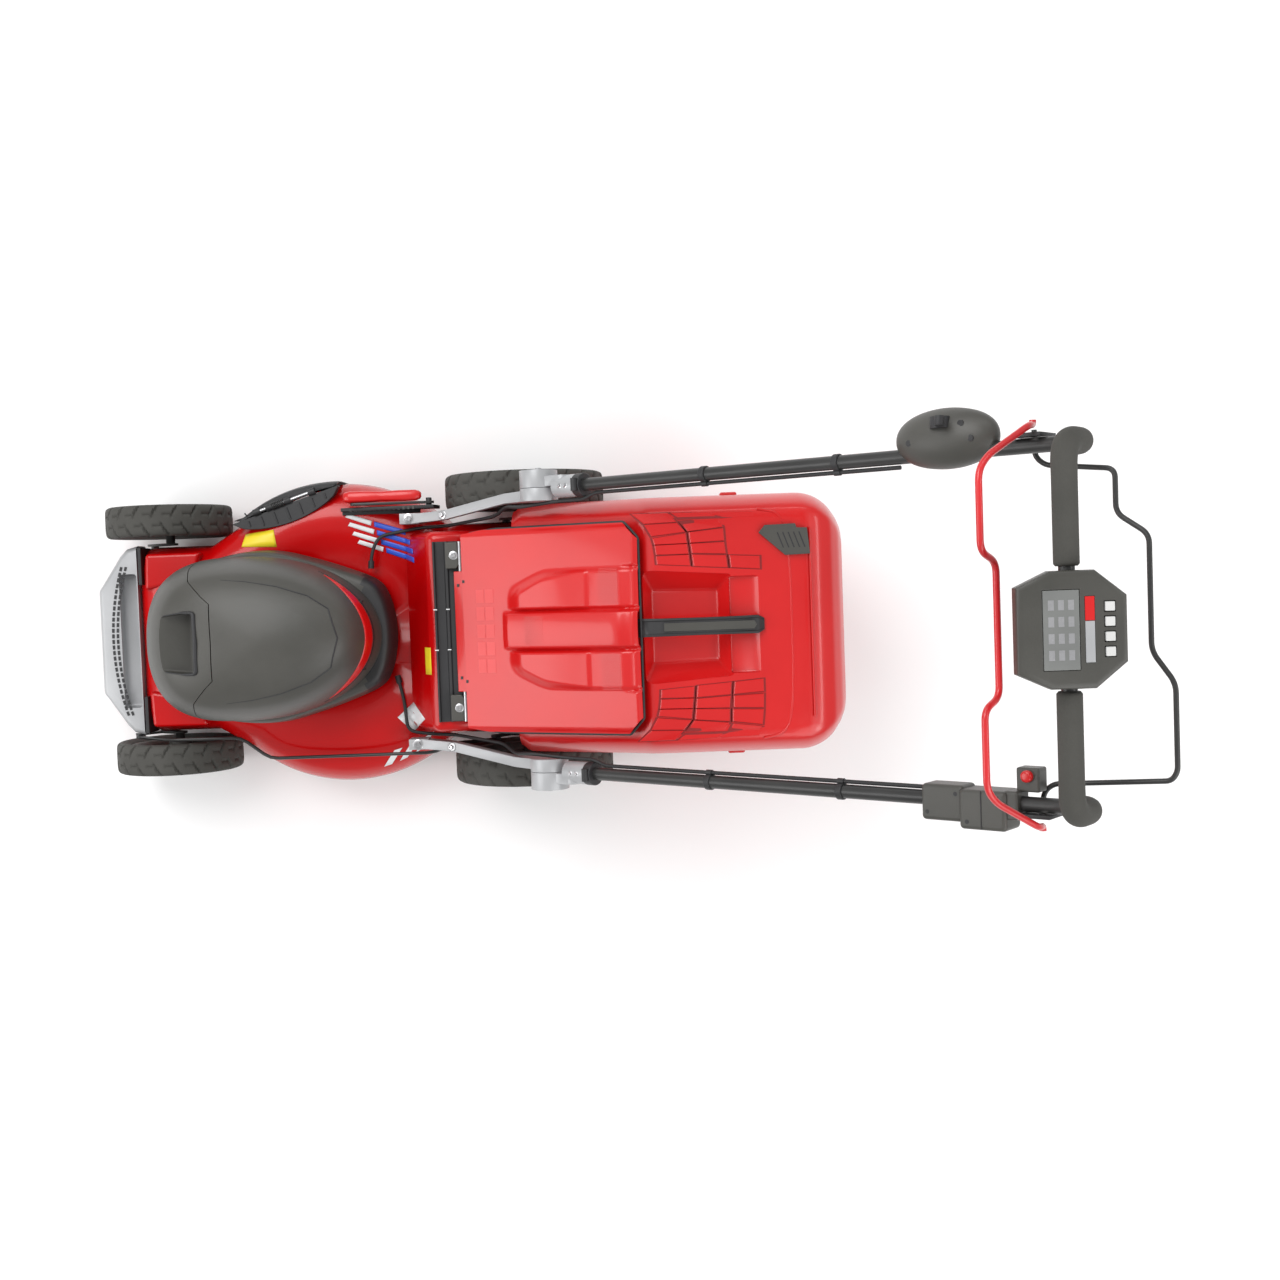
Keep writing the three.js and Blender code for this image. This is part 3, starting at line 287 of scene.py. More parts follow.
def beyond_guard(p, slack=0.0):
    local = Vector((p.x - BLADE_X, p.y - MIDDLE_Y)) - GUARD_A
    along = local.dot(guard_run)
    return local.dot(guard_out) > slack and 0 < along < (GUARD_B - GUARD_A).length


shape = bmesh.new()
shape.from_mesh(deck_shell.data)
TUNNEL_HALF = 0.170
doomed = []
for face in shape.faces:
    c = face.calc_center_median()
    in_tunnel = 0.150 < c.x - BLADE_X < 0.32 and abs(c.y - MIDDLE_Y) < 0.160 and c.z > 0.15
    behind = c.x - BLADE_X > DECK_REAR - 0.004 and abs(c.y - MIDDLE_Y) < 0.165
    doorway = beyond_guard(c) and c.z > GUARD_RIM_Z
    if in_tunnel or behind or doorway:
        doomed.append(face)
bmesh.ops.delete(shape, geom=doomed, context="FACES")
shape.to_mesh(deck_shell.data)
shape.free()
thicken(deck_shell, SHEET_STEEL)
settle(deck_shell, "mower_body", "deck_paint", "deck")

TUNNEL_TOP_Z = deck_high.z
TUNNEL_PROFILE = [(0.122, 0.180), (0.122, 0.196), (0.150, 0.249), (0.172, TUNNEL_TOP_Z),
                  (DECK_REAR, TUNNEL_TOP_Z), (DECK_REAR, 0.150)]


def plate_from_profile(name, outline, y0, y1, material):
    """Side profile in x and z, spread from y0 to y1."""
    count = len(outline)
    points = [spot(x, y0, z) for x, z in outline] + [spot(x, y1, z) for x, z in outline]
    return piece_from(name, points, ring_faces(2, count), material, smooth=False)


tunnel = plate_from_profile("outlet_tunnel", TUNNEL_PROFILE, -TUNNEL_HALF, TUNNEL_HALF, deck_paint)
shape = bmesh.new()
shape.from_mesh(tunnel.data)
open_faces = [f for f in shape.faces if f.normal.x > 0.9 or f.normal.z < -0.3]
bmesh.ops.delete(shape, geom=open_faces, context="FACES")
shape.to_mesh(tunnel.data)
shape.free()
soften(tunnel, 0.014, 5)
thicken(tunnel, SHEET_STEEL)
settle(tunnel, "mower_body", "deck_paint")


def raised_panel(name, outline, z0, z1, material, edge=0.003, body="mower_body", slot="deck_paint"):
    """Plan outline raised from z0 to z1 with softened edges."""
    count = len(outline)
    points = [spot(x, y, z0) for x, y in outline] + [spot(x, y, z1) for x, y in outline]
    piece = piece_from(name, points, ring_faces(2, count), material, smooth=False)
    if edge:
        soften(piece, edge)
    return settle(piece, body, slot)


for side, sign in (("left", -1), ("right", 1)):
    tower = [(-0.338, sign * 0.088), (-0.250, sign * 0.104), (-0.238, sign * 0.152), (-0.335, sign * 0.152)]
    raised_panel(f"deck_tower_{side}", tower, 0.150, 0.1965, deck_paint, 0.007)
    rim = [(-0.350, sign * 0.098), (-0.344, sign * 0.098), (-0.344, sign * 0.163), (-0.350, sign * 0.163)]
    raised_panel(f"tower_seal_{side}", rim, 0.130, 0.188, black_plastic, 0.001, slot="black_plastic")

# --- stripes and plain labels -----------------------------------------------------------------
# Thin decals laid on the paint: three fading swooshes in white and blue on the right shoulder,
# pale slanted bars low on the left skirt, and plain yellow and white patches.
swoosh_paint = surface_finish("swoosh_paint", ((0.02, 0.07, 0.50), (0.04, 0.11, 0.62)), 0.3, 300, 0.1)
label_yellow = surface_finish("label_yellow", ((0.78, 0.60, 0.02), (0.86, 0.68, 0.03)), 0.35, 300, 0.1)
label_white = surface_finish("label_white", ((0.72, 0.73, 0.74), (0.80, 0.81, 0.82)), 0.35, 300, 0.1)


def on_deck(x, y):
    """Height of the deck's skin above a plan point, for laying decals and pads on it."""
    found = [DECK_TOP_Z - 0.2]
    for skin in (deck_shell, tunnel):
        hit, place, _, _ = skin.ray_cast(spot(x, y, 1.0), Vector((0, 0, -1)))
        if hit:
            found.append(place.z)
    return max(found)


def decal(name, outline, material, steps=14, body="mower_body"):
    """Thin skin draped over the deck inside a four-sided plan outline."""
    a, b, c, d = [Vector(p) for p in outline]
    points, faces = [], []
    for i in range(steps + 1):
        for j in range(4):
            p = a.lerp(b, i / steps).lerp(d.lerp(c, i / steps), j / 3)
            points.append(spot(p.x, p.y, on_deck(p.x, p.y) + 0.0006))
    for i in range(steps):
        for j in range(3):
            k = i * 4 + j
            faces.append((k, k + 1, k + 5, k + 4))
    piece = piece_from(name, points, faces, material)
    thicken(piece, 0.0005, offset=1)
    return settle(piece, body, "deck_paint")


SWOOSHES = [(0.018, 0.203, 0.122, 0.168), (0.022, 0.188, 0.132, 0.150), (0.028, 0.172, 0.138, 0.134),
            (0.036, 0.157, 0.140, 0.119)]
for row, (x0, y0, x1, y1) in enumerate(SWOOSHES):
    decal(f"swoosh_pale_{row + 1}", [(x0, y0), (x0 + 0.044, y0 - 0.016), (x0 + 0.046, y0 - 0.008),
                                     (x0 + 0.004, y0 + 0.006)], label_white)
    decal(f"swoosh_blue_{row + 1}", [(x0 + 0.050, y0 - 0.018), (x1, y1), (x1, y1 + 0.009),
                                     (x0 + 0.050, y0 - 0.009)], swoosh_paint)
decal("label_front", [(-0.166, 0.158), (-0.104, 0.156), (-0.108, 0.186), (-0.160, 0.180)], label_yellow)
decal("label_side", [(0.094, -0.150), (0.124, -0.124), (0.150, -0.150), (0.120, -0.176)], label_white)

decal("label_rear", [(0.157, -0.072), (0.1695, -0.072), (0.1695, -0.026), (0.157, -0.026)], label_yellow)
LEFT_BARS = [0.062, 0.090, 0.118]
for row, x in enumerate(LEFT_BARS):
    outer_start, outer_end = (-((DECK_RADIUS - 0.020) ** 2 - at ** 2) ** 0.5 for at in (x, x + 0.014))
    decal(f"skirt_bar_{row + 1}", [(x, outer_start), (x + 0.014, outer_end), (x + 0.036, outer_end + 0.030),
                                   (x + 0.022, outer_start + 0.030)], label_white)

# --- side discharge guard -----------------------------------------------------------------
# Black moulded crescent that closes the doorway in the deck, hinged on its inner top edge by a
# steel pin with a coil spring, and ribbed on its crown.
black_coat = surface_finish("black_coat", ((0.018, 0.018, 0.018), (0.03, 0.03, 0.029)), 0.36, 520, 0.2)
bright_steel = surface_finish("bright_steel", ((0.42, 0.42, 0.43), (0.58, 0.58, 0.59)), 0.28, 240, 0.2,
                              metallic=0.95)
guard_top_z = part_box("side_guard")[1].z
GUARD_WALL = 0.0025
outer = []
for i in range(25):
    turn = radians(131.2 - 42.0 * i / 24)
    outer.append(Vector((DECK_RADIUS * cos(turn), DECK_RADIUS * sin(turn))))
guard_line = [p for p in outer if (p - GUARD_A).dot(guard_out) > 0.003]
GUARD_PROFILE = [(0.0, 0.047), (0.0, 0.100), (0.0, 0.140), (0.001, 0.165), (0.005, 0.182), (0.014, 0.192)]
points, faces = [], []
for pull, z in GUARD_PROFILE:
    for p in guard_line:
        q = p * (1 - pull / DECK_RADIUS)
        points.append(spot(q.x, q.y, z))
for p in guard_line:
    foot = GUARD_A + guard_run * (p - GUARD_A).dot(guard_run) + guard_out * 0.003
    points.append(spot(foot.x, foot.y, 0.1955))
count = len(guard_line)
for k in range(len(GUARD_PROFILE)):
    for i in range(count - 1):
        faces.append((k * count + i, k * count + i + 1, (k + 1) * count + i + 1, (k + 1) * count + i))
guard = piece_from("guard_shell", points, faces, black_plastic)
thicken(guard, GUARD_WALL)
settle(guard, "discharge_guard", "black_plastic", "side_guard")


def tube_rings(path, radius, sides):
    """Rings round a path of points, carried along without twist."""
    tangents = []
    for i, p in enumerate(path):
        before = path[max(i - 1, 0)]
        after = path[min(i + 1, len(path) - 1)]
        tangents.append((after - before).normalized())
    start = Vector((0, 0, 1)) if abs(tangents[0].z) < 0.9 else Vector((1, 0, 0))
    side = tangents[0].cross(start).normalized()
    rings = []
    for i, p in enumerate(path):
        if i:
            side = (side - tangents[i] * side.dot(tangents[i])).normalized()
        up = tangents[i].cross(side)
        size = radius(i / (len(path) - 1)) if callable(radius) else radius
        for k in range(sides):
            turn = 2 * pi * k / sides
            rings.append(p + side * (size * cos(turn)) + up * (size * sin(turn)))
    return rings


def bent_line(corners, bend, steps=8):
    """Straight runs between corners, with each corner rounded by a true arc-like curve."""
    line = [corners[0]]
    for i in range(1, len(corners) - 1):
        back = corners[i - 1] - corners[i]
        ahead = corners[i + 1] - corners[i]
        share_back = 0.95 if i == 1 else 0.49
        share_ahead = 0.95 if i + 2 == len(corners) else 0.49
        reach = min(bend, back.length * share_back, ahead.length * share_ahead)
        start = corners[i] + back.normalized() * reach
        end = corners[i] + ahead.normalized() * reach
        for k in range(steps + 1):
            t = k / steps
            line.append(start * (1 - t) ** 2 + corners[i] * 2 * t * (1 - t) + end * t * t)
    line.append(corners[-1])
    return line


def round_rod(name, corners, radius, material, bend=0.01, sides=20, steps=8):
    line = bent_line(corners, bend, steps)
    rings = tube_rings(line, radius, sides)
    piece = piece_from(name, rings, ring_faces(len(line), sides), material)
    sharpen_ends(piece)
    return piece


def sharpen_ends(piece, angle=50):
    """Smooth sides with crisp end faces."""
    shape = bmesh.new()
    shape.from_mesh(piece.data)
    for edge in shape.edges:
        if len(edge.link_faces) == 2 and edge.calc_face_angle() > radians(angle):
            edge.smooth = False
    shape.to_mesh(piece.data)
    shape.free()


# Black moulded hinge bracket of the guard, screwed along the deck's edge beside the doorway.
bracket_line = []
for i in range(15):
    share = i / 14
    p = GUARD_A.lerp(GUARD_B, share) - guard_out * (0.003 + 0.030 * sin(pi * share) ** 0.6)
    bracket_line.append((p.x, p.y))
outer_line = [GUARD_B - guard_out * 0.001, GUARD_A - guard_out * 0.001]
outline = bracket_line + [(p.x, p.y) for p in outer_line]
raised_panel("guard_bracket", outline, 0.180, 0.1985, black_plastic, 0.0025, slot="black_plastic")
for i in range(7):
    share = 0.14 + 0.12 * i
    a = GUARD_A.lerp(GUARD_B, share) - guard_out * 0.006
    b = a - guard_out * (0.022 * sin(pi * share))
    web = round_rod(f"guard_bracket_web_{i + 1}", [spot(a.x, a.y, 0.1988), spot(b.x, b.y, 0.1988)],
                    0.0016, black_plastic, sides=8)
    settle(web, "mower_body", "black_plastic")
crown_line = [p * (1 - 0.004 / DECK_RADIUS) for p in guard_line]
crown_outline = [(p.x, p.y) for p in crown_line]
crown_outline += [(q.x, q.y) for q in (GUARD_B + guard_out * 0.0035 - guard_run * 0.004,
                                       GUARD_A + guard_out * 0.0035 + guard_run * 0.004)]
raised_panel("guard_crown", crown_outline, 0.186, 0.1945, black_plastic, 0.0015, body="discharge_guard",
             slot="black_plastic")

pin_z = guard_top_z - 0.004
pin_start = GUARD_A + guard_run * 0.045 + guard_out * 0.004
pin_end = GUARD_B - guard_run * 0.045 + guard_out * 0.004
pin = round_rod("guard_pin", [spot(*pin_start, pin_z), spot(*pin_end, pin_z)], 0.003, bright_steel)
settle(pin, "discharge_guard", "black_steel")
SPRING_TURNS = 8
SPRING_STEPS = SPRING_TURNS * 16
SPRING_RADIUS = 0.0062
coil = []
for i in range(SPRING_STEPS + 1):
    share = i / SPRING_STEPS
    turn = share * SPRING_TURNS * 2 * pi
    c = pin_start.lerp(pin_end, 0.28 + 0.22 * share)
    across = guard_out * (SPRING_RADIUS * cos(turn))
    coil.append(spot(c.x + across.x, c.y + across.y, pin_z + SPRING_RADIUS * sin(turn)))
spring = piece_from("guard_spring", tube_rings(coil, 0.0011, 6), ring_faces(len(coil), 6), black_coat)
settle(spring, "discharge_guard", "black_steel")
for i in range(4):
    c = pin_start.lerp(pin_end, (0.02, 0.24, 0.56, 0.98)[i])
    half = guard_run * 0.006
    a, b = c - half, c + half
    knuckle = round_rod(f"guard_knuckle_{i + 1}", [spot(a.x, a.y, pin_z), spot(b.x, b.y, pin_z)], 0.0062,
                        black_plastic)
    settle(knuckle, "discharge_guard" if i % 2 else "mower_body", "black_plastic")
for i in range(9):
    p = guard_line[2 + i * 2]
    foot = GUARD_A + guard_run * (p - GUARD_A).dot(guard_run) + guard_out * 0.010
    top = p * (1 - 0.016 / DECK_RADIUS)
    if (top - foot).length > 0.008:
        rib = round_rod(f"guard_rib_{i + 1}", [spot(foot.x, foot.y, 0.196), spot(top.x, top.y, 0.1925)],
                        0.0012, black_plastic, sides=8)
        settle(rib, "discharge_guard", "black_plastic")

# --- front bumper ---------------------------------------------------------------------------
# Silver moulded bumper that doubles as the front carry handle: chamfered ends, a finger recess
# behind a ledge, and two rows of slots through the ledge.
silver_lacquer = surface_finish("silver_lacquer", ((0.36, 0.365, 0.375), (0.43, 0.435, 0.445)), 0.40, 700,
                                0.15, metallic=0.25)
bumper_low, bumper_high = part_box("front_bumper")
BUMPER_TOP = bumper_high.z
BUMPER_FRONT = bumper_low.x - BLADE_X
BUMPER_BACK = bumper_high.x - BLADE_X


def bumper_outline(inset):
    half = [(BUMPER_FRONT + inset, 0.0), (BUMPER_FRONT + inset, 0.078 - inset * 0.3)]
    for i in range(9):
        t = i / 8
        a, c = Vector((BUMPER_FRONT + inset, 0.086)), Vector((BUMPER_FRONT + 0.006 + inset, 0.098))
        half.append(tuple(a.lerp(c, t) - Vector((0.0014 * sin(pi * t), 0))))
    half += [(BUMPER_FRONT + 0.040 + inset * 0.6, 0.150 - inset), (BUMPER_FRONT + 0.052 + inset * 0.4,
                                                                   0.162 - inset),
             (BUMPER_BACK, 0.167 - inset)]
    half = half[1:]
    return half + [(x, -y) for x, y in reversed(half)]


BUMPER_LEVELS = [(0.003, 0.121), (0.0, 0.128), (0.0, BUMPER_TOP - 0.012), (0.0015, BUMPER_TOP - 0.005),
                 (0.005, BUMPER_TOP - 0.0012), (0.009, BUMPER_TOP)]
points = []
for inset, z in BUMPER_LEVELS:
    points += [spot(x, y, z) for x, y in bumper_outline(inset)]
bumper = piece_from("bumper_body", points, ring_faces(len(BUMPER_LEVELS), len(bumper_outline(0))),
                    silver_lacquer)


def cutter_box(x0, x1, y0, y1, z0, z1):
    corners = [(x, y, z) for x in (x0, x1) for y in (y0, y1) for z in (z0, z1)]
    points = [spot(*c) for c in corners]
    faces = [(0, 1, 3, 2), (4, 6, 7, 5), (0, 4, 5, 1), (2, 3, 7, 6), (0, 2, 6, 4), (1, 5, 7, 3)]
    return piece_from("cutter", points, faces, black_plastic, smooth=False)


def carve(piece, *cutters, operation="DIFFERENCE"):
    for cutter in cutters:
        step = piece.modifiers.new("carve", "BOOLEAN")
        step.operation = operation
        step.solver = "EXACT"
        step.object = cutter
        baked(piece)
        bpy.data.objects.remove(cutter)
    return piece


carve(bumper, soften(cutter_box(-0.388, -0.357, -0.118, 0.118, BUMPER_TOP - 0.026, BUMPER_TOP + 0.03),
                     0.006, 4))
sharpen_ends(bumper, 35)
settle(bumper, "mower_body", "silver_coated", "front_bumper")

# The slots are one black block repeated along the ledge's curve by Geometry Nodes; the black paints the
# shade inside the slots.


def repeat_block(name, size, spots, material):
    """Small block set at each vertex of a guide, turned by the guide's own angles."""
    guide_mesh = bpy.data.meshes.new(name + "_guide")
    guide_mesh.from_pydata([tuple(p) for p, _ in spots], [], [])
    turn = guide_mesh.attributes.new("turn", "FLOAT_VECTOR", "POINT")
    turn.data.foreach_set("vector", [value for _, angles in spots for value in angles])
    guide = bpy.data.objects.new(name, guide_mesh)
    bpy.context.scene.collection.objects.link(guide)
    tree = bpy.data.node_groups.new(name + "_repeat", "GeometryNodeTree")
    tree.interface.new_socket("Geometry", in_out="INPUT", socket_type="NodeSocketGeometry")
    size_socket = tree.interface.new_socket("Block Size", in_out="INPUT", socket_type="NodeSocketVector")
    tree.interface.new_socket("Geometry", in_out="OUTPUT", socket_type="NodeSocketGeometry")
    node = tree.nodes.new
    start, end = node("NodeGroupInput"), node("NodeGroupOutput")
    cube, put = node("GeometryNodeMeshCube"), node("GeometryNodeInstanceOnPoints")
    real, paint = node("GeometryNodeRealizeInstances"), node("GeometryNodeSetMaterial")
    angle = node("GeometryNodeInputNamedAttribute")
    angle.data_type = "FLOAT_VECTOR"
    angle.inputs["Name"].default_value = "turn"
    paint.inputs["Material"].default_value = material
    link = tree.links.new
    link(start.outputs["Block Size"], cube.inputs["Size"])
    link(start.outputs["Geometry"], put.inputs["Points"])
    link(cube.outputs["Mesh"], put.inputs["Instance"])
    link(angle.outputs["Attribute"], put.inputs["Rotation"])
    link(put.outputs["Instances"], real.inputs["Geometry"])
    link(real.outputs["Geometry"], paint.inputs["Geometry"])
    link(paint.outputs["Geometry"], end.inputs["Geometry"])
    modifier = guide.modifiers.new("repeat", "NODES")
    modifier.node_group = tree
    modifier[size_socket.identifier] = size
    baked(guide)
    if not guide.data.materials:
        guide.data.materials.append(material)
    return guide


LEDGE_BOW = 0.020
LEDGE_HALF = 0.13
SLOT_PITCH = 0.0098
slots = []
for x_row in (-0.4025, -0.3945):
    for i in range(-13, 14):
        y = i * SLOT_PITCH
        bow = LEDGE_BOW * (y / LEDGE_HALF) ** 2
        lean = -2 * LEDGE_BOW * y / LEDGE_HALF ** 2
        slots.append((spot(x_row + bow, y, BUMPER_TOP + 0.0002), (0, 0, lean)))
slot_shade_row = repeat_block("bumper_slot_shade", (0.0042, 0.0072, 0.0012), slots, black_plastic)
settle(slot_shade_row, "mower_body", "black_plastic")

# --- hood base ------------------------------------------------------------------------------
# Lower tier of the moulded hood, bolted to the deck round the motor. It is wider than the dome
# and shows as a ledge round it; its rear end is the black tail over the cable outlets.
dark_plastic = surface_finish("dark_plastic", ((0.045, 0.044, 0.038), (0.063, 0.061, 0.054)), 0.42, 1100,
                              0.3)
HOOD_HALF_OUTLINE = [(0.099, 0.0), (0.0965, 0.030), (0.088, 0.064), (0.070, 0.090), (0.020, 0.112),
                     (-0.040, 0.132), (-0.100, 0.1465), (-0.160, 0.1455), (-0.216, 0.133),
                     (-0.258, 0.114), (-0.292, 0.090), (-0.303, 0.055), (-0.306, 0.0)]


def smooth_loop(half, steps=6):
    """Closed smooth line through a half outline and its mirror image."""
    loop = [Vector(p) for p in half] + [Vector((x, -y)) for x, y in half[-2:0:-1]]
    n = len(loop)
    line = []
    for i in range(n):
        a, b, c, d = loop[i - 1], loop[i], loop[(i + 1) % n], loop[(i + 2) % n]
        for k in range(steps):
            t = k / steps
            line.append(0.5 * ((2 * b) + (c - a) * t + (2 * a - 5 * b + 4 * c - d) * t * t
                               + (3 * b - a - 3 * c + d) * t ** 3))
    return line


def offset_loop(loop, inset):
    """Closed plan line pulled inwards along its own normals."""
    n = len(loop)
    moved = []
    for i, p in enumerate(loop):
        along = (loop[(i + 1) % n] - loop[i - 1]).normalized()
        moved.append(p - Vector((along.y, -along.x)) * inset)
    return moved


hood_low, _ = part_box("hood_base")
HOOD_FLOOR = hood_low.z
base_line = smooth_loop(HOOD_HALF_OUTLINE)
HOOD_BASE_LEVELS = [(-0.003, HOOD_FLOOR), (-0.002, 0.212), (0.0, 0.236), (0.0012, 0.249), (0.004, 0.257),
                    (0.008, 0.2608), (0.014, 0.262), (0.030, 0.2615), (0.034, 0.252)]
base_points = []
for inset, z in HOOD_BASE_LEVELS:
    base_points += [spot(p.x, p.y, z) for p in offset_loop(base_line, inset)]
TAIL_START_X = 0.052
for name, tail, paint, slot in (("hood_base_tier", False, dark_plastic, "dark_plastic"),
                                ("hood_tail_ledge", True, black_plastic, "black_plastic")):
    tier = piece_from(name, base_points, ring_faces(len(HOOD_BASE_LEVELS), len(base_line), False, False),
                      paint)
    shape = bmesh.new()
    shape.from_mesh(tier.data)
    spare = [f for f in shape.faces if (f.calc_center_median().x - BLADE_X > TAIL_START_X) != tail]
    bmesh.ops.delete(shape, geom=spare, context="FACES")
    shape.to_mesh(tier.data)
    shape.free()
    thicken(tier, 0.0025)
    sharpen_ends(tier, 50)
    if not tail:
        carve(tier, cutter_box(-0.2605, -0.2315, 0.060, 0.0985, 0.236, 0.275))
        sharpen_ends(tier, 35)
    settle(tier, "mower_body", slot, "hood_tail" if tail else "hood_base")

# --- hood dome and battery cover --------------------------------------------------------------
# Satin grey moulded dome over the motor, with a crowned top plate and steeper sides, and a
# battery cover at its front that hinges on its nose. The seam between them steps back in the
# middle, and the cover has a ramped finger scoop.
# Each level: height, front end, rear end, half width.
red_plastic = surface_finish("red_plastic", ((0.53, 0.004, 0.005), (0.58, 0.006, 0.006)), 0.30, 900, 0.12,
                             coat=0.3, specular=0.45)
DOME_LEVELS = [(0.2555, -0.307, 0.085, 0.1395), (0.275, -0.306, 0.084, 0.139),
               (0.300, -0.302, 0.0815, 0.137), (0.325, -0.297, 0.078, 0.1335),
               (0.350, -0.287, 0.072, 0.1275), (0.370, -0.274, 0.064, 0.1195),
               (0.384, -0.262, 0.056, 0.1115), (0.390, -0.2555, 0.0505, 0.1065),
               (0.3945, -0.249, 0.046, 0.1015), (0.4005, -0.238, 0.038, 0.094),
               (0.4085, -0.217, 0.022, 0.081), (0.4155, -0.190, 0.0, 0.063),
               (0.4215, -0.157, -0.028, 0.042), (0.4255, -0.122, -0.060, 0.020),
               (0.427, -0.098, -0.082, 0.006)]
DOME_POINTS = 160


def dome_ring(level, inset=0.0, count=DOME_POINTS, turns=None):
    """Plan ring of the dome: square-shouldered at the front and pointed like an egg at the rear."""
    z, front, rear, half = level
    widest = front + (rear - front) * 0.42
    ring = []
    for i in range(count):
        angle = 2 * pi * i / count if turns is None else turns[i]
        c, s = cos(angle), sin(angle)
        reach = (rear - inset - widest) if c > 0 else (widest - front - inset)
        x = widest + (1 if c > 0 else -1) * reach * abs(c) ** (0.98 if c > 0 else 0.62)
        y = (1 if s > 0 else -1) * (half - inset) * abs(s) ** (1.0 if c > 0 else 0.86)
        ring.append(spot(x, y, z))
    return ring


def dome_solid(name, inset):
    rings = []
    levels = [(0.2555 - inset * 2, *DOME_LEVELS[0][1:])] + list(DOME_LEVELS)
    for level in levels:
        z, front, rear, half = level
        if half - inset > 0.004:
            rings.append(dome_ring((z - inset, front, rear, half), inset))
    flat = [p for ring in rings for p in ring]
    return piece_from(name, flat, ring_faces(len(rings), DOME_POINTS), dark_plastic)


def prism_cutter(outline, z0, z1):
    count = len(outline)
    points = [spot(x, y, z0) for x, y in outline] + [spot(x, y, z1) for x, y in outline]
    return piece_from("cutter", points, ring_faces(2, count), black_plastic, smooth=False)


def ramp_cutter(grow=0.0):
    """Finger scoop: a ramp that deepens towards a steep rear wall."""
    half_front, half_rear = 0.046 + grow, 0.051 + grow
    z_top = 0.45
    corners = [(-0.262 - grow, half_front * 0.94, 0.392 - grow), (-0.206 + grow, half_rear, 0.3735 - grow),
               (-0.1925 + grow, half_rear, 0.378 - grow), (-0.1885 + grow, half_rear * 0.98, z_top)]
    points = []
    for sign in (1, -1):
        points += [spot(x, sign * y, z) for x, y, z in corners]
        points.append(spot(-0.262 - grow, sign * half_front * 0.94, z_top))
    return piece_from("cutter", points, ring_faces(2, 5), dark_plastic, smooth=False)


SEAM = [(0.0, -0.1645), (0.062, -0.1665), (0.074, -0.180), (0.100, -0.206), (0.118, -0.2125),
        (0.200, -0.2165)]


def seam_outline(shift, far):
    near = [(x + shift, y) for y, x in SEAM]
    return [(x, y) for x, y in near] + [(far, near[-1][1]), (far, -near[-1][1])] + [(x, -y) for x,
                                                                                    y in near[:0:-1]]


for name, far, shift, body, node in (("battery_cover_shell", -0.36, -0.0008, "battery_cover",
                                      "battery_flap"), ("hood_dome_shell", 0.20, 0.0008, "mower_body",
                                                        "hood_dome")):
    shell = dome_solid(name, 0.0)
    hollow = dome_solid("cutter", 0.003)
    if far < 0:
        carve(shell, soften(ramp_cutter(), 0.005, 4))
        carve(hollow, ramp_cutter(0.003))
    carve(shell, hollow)
    carve(shell, prism_cutter(seam_outline(shift, far), 0.22, 0.46), operation="INTERSECT")
    shell.data.polygons.foreach_set("use_smooth", [True] * len(shell.data.polygons))
    sharpen_ends(shell, 32)
    settle(shell, body, "dark_plastic", node)

# Red strip round the dome's rear shoulder, pointed at both ends, with a thin black joint below.
for name, low, high, reach, proud, paint, slot in (
        ("hood_red_strip", 0.320, 0.352, 50, 0.0012, red_plastic, "red_plastic"),
        ("hood_strip_joint", 0.310, 0.320, 54, 0.0006, black_plastic, "black_plastic")):
    steps = 60
    rows = []
    for k in range(6):
        share = k / 5
        ring = []
        for i in range(steps + 1):
            angle = radians(reach * (2 * i / steps - 1))
            taper = 1 - abs(2 * i / steps - 1) ** 3
            z = low + (high - low) * share * max(taper, 0.06)
            upper = next(j for j, level in enumerate(DOME_LEVELS) if level[0] >= z)
            a, b = DOME_LEVELS[upper - 1], DOME_LEVELS[upper]
            t = (z - a[0]) / (b[0] - a[0])
            level = tuple(p + (q - p) * t for p, q in zip(a, b))
            swell = proud * (1 if 0 < k < 5 else 0.35)
            ring.append(dome_ring(level, -swell, 1, [angle])[0])
        rows.append(ring)
    faces = []
    for k in range(5):
        for i in range(steps):
            j = k * (steps + 1) + i
            faces.append((j, j + 1, j + steps + 2, j + steps + 1))
    strip = piece_from(name, [p for ring in rows for p in ring], faces, paint)
    thicken(strip, 0.0014)
    settle(strip, "mower_body", slot, *(["hood_trim"] if slot == "red_plastic" else []))

# Black tapered rod in the scoop, a U along its steep rear wall with two arms running forward: painted
# shadow of the wall.
scoop_shade_half = [(-0.246, 0.0455, 0.3950), (-0.214, 0.0500, 0.4062), (-0.1925, 0.0495, 0.4122)]
scoop_shade_line = [spot(*p) for p in scoop_shade_half] + [spot(-0.1905, 0.0, 0.4164)]
scoop_shade_line += [spot(x, -y, z) for x, y, z in reversed(scoop_shade_half)]
lip = round_rod("cover_scoop_shade", scoop_shade_line, lambda share: 0.0010 + 0.0026 * sin(pi * share),
                black_plastic, bend=0.006, sides=12)
settle(lip, "battery_cover", "black_plastic")
# Pressed line round the crown plate of the dome.
crown = []
for x, y in ((-0.150, 0.1005), (-0.110, 0.0965), (-0.060, 0.0870), (-0.010, 0.0700), (0.022, 0.0480),
             (0.036, 0.0)):
    crown.append((x, y))
crown += [(x, -y) for x, y in reversed(crown[:-1])]


def on_dome(x, y):
    hit, place, _, _ = bpy.data.objects["hood_dome_shell"].ray_cast(spot(x, y, 1.0), Vector((0, 0, -1)))
    return spot(x, y, place.z if hit else 0.39)


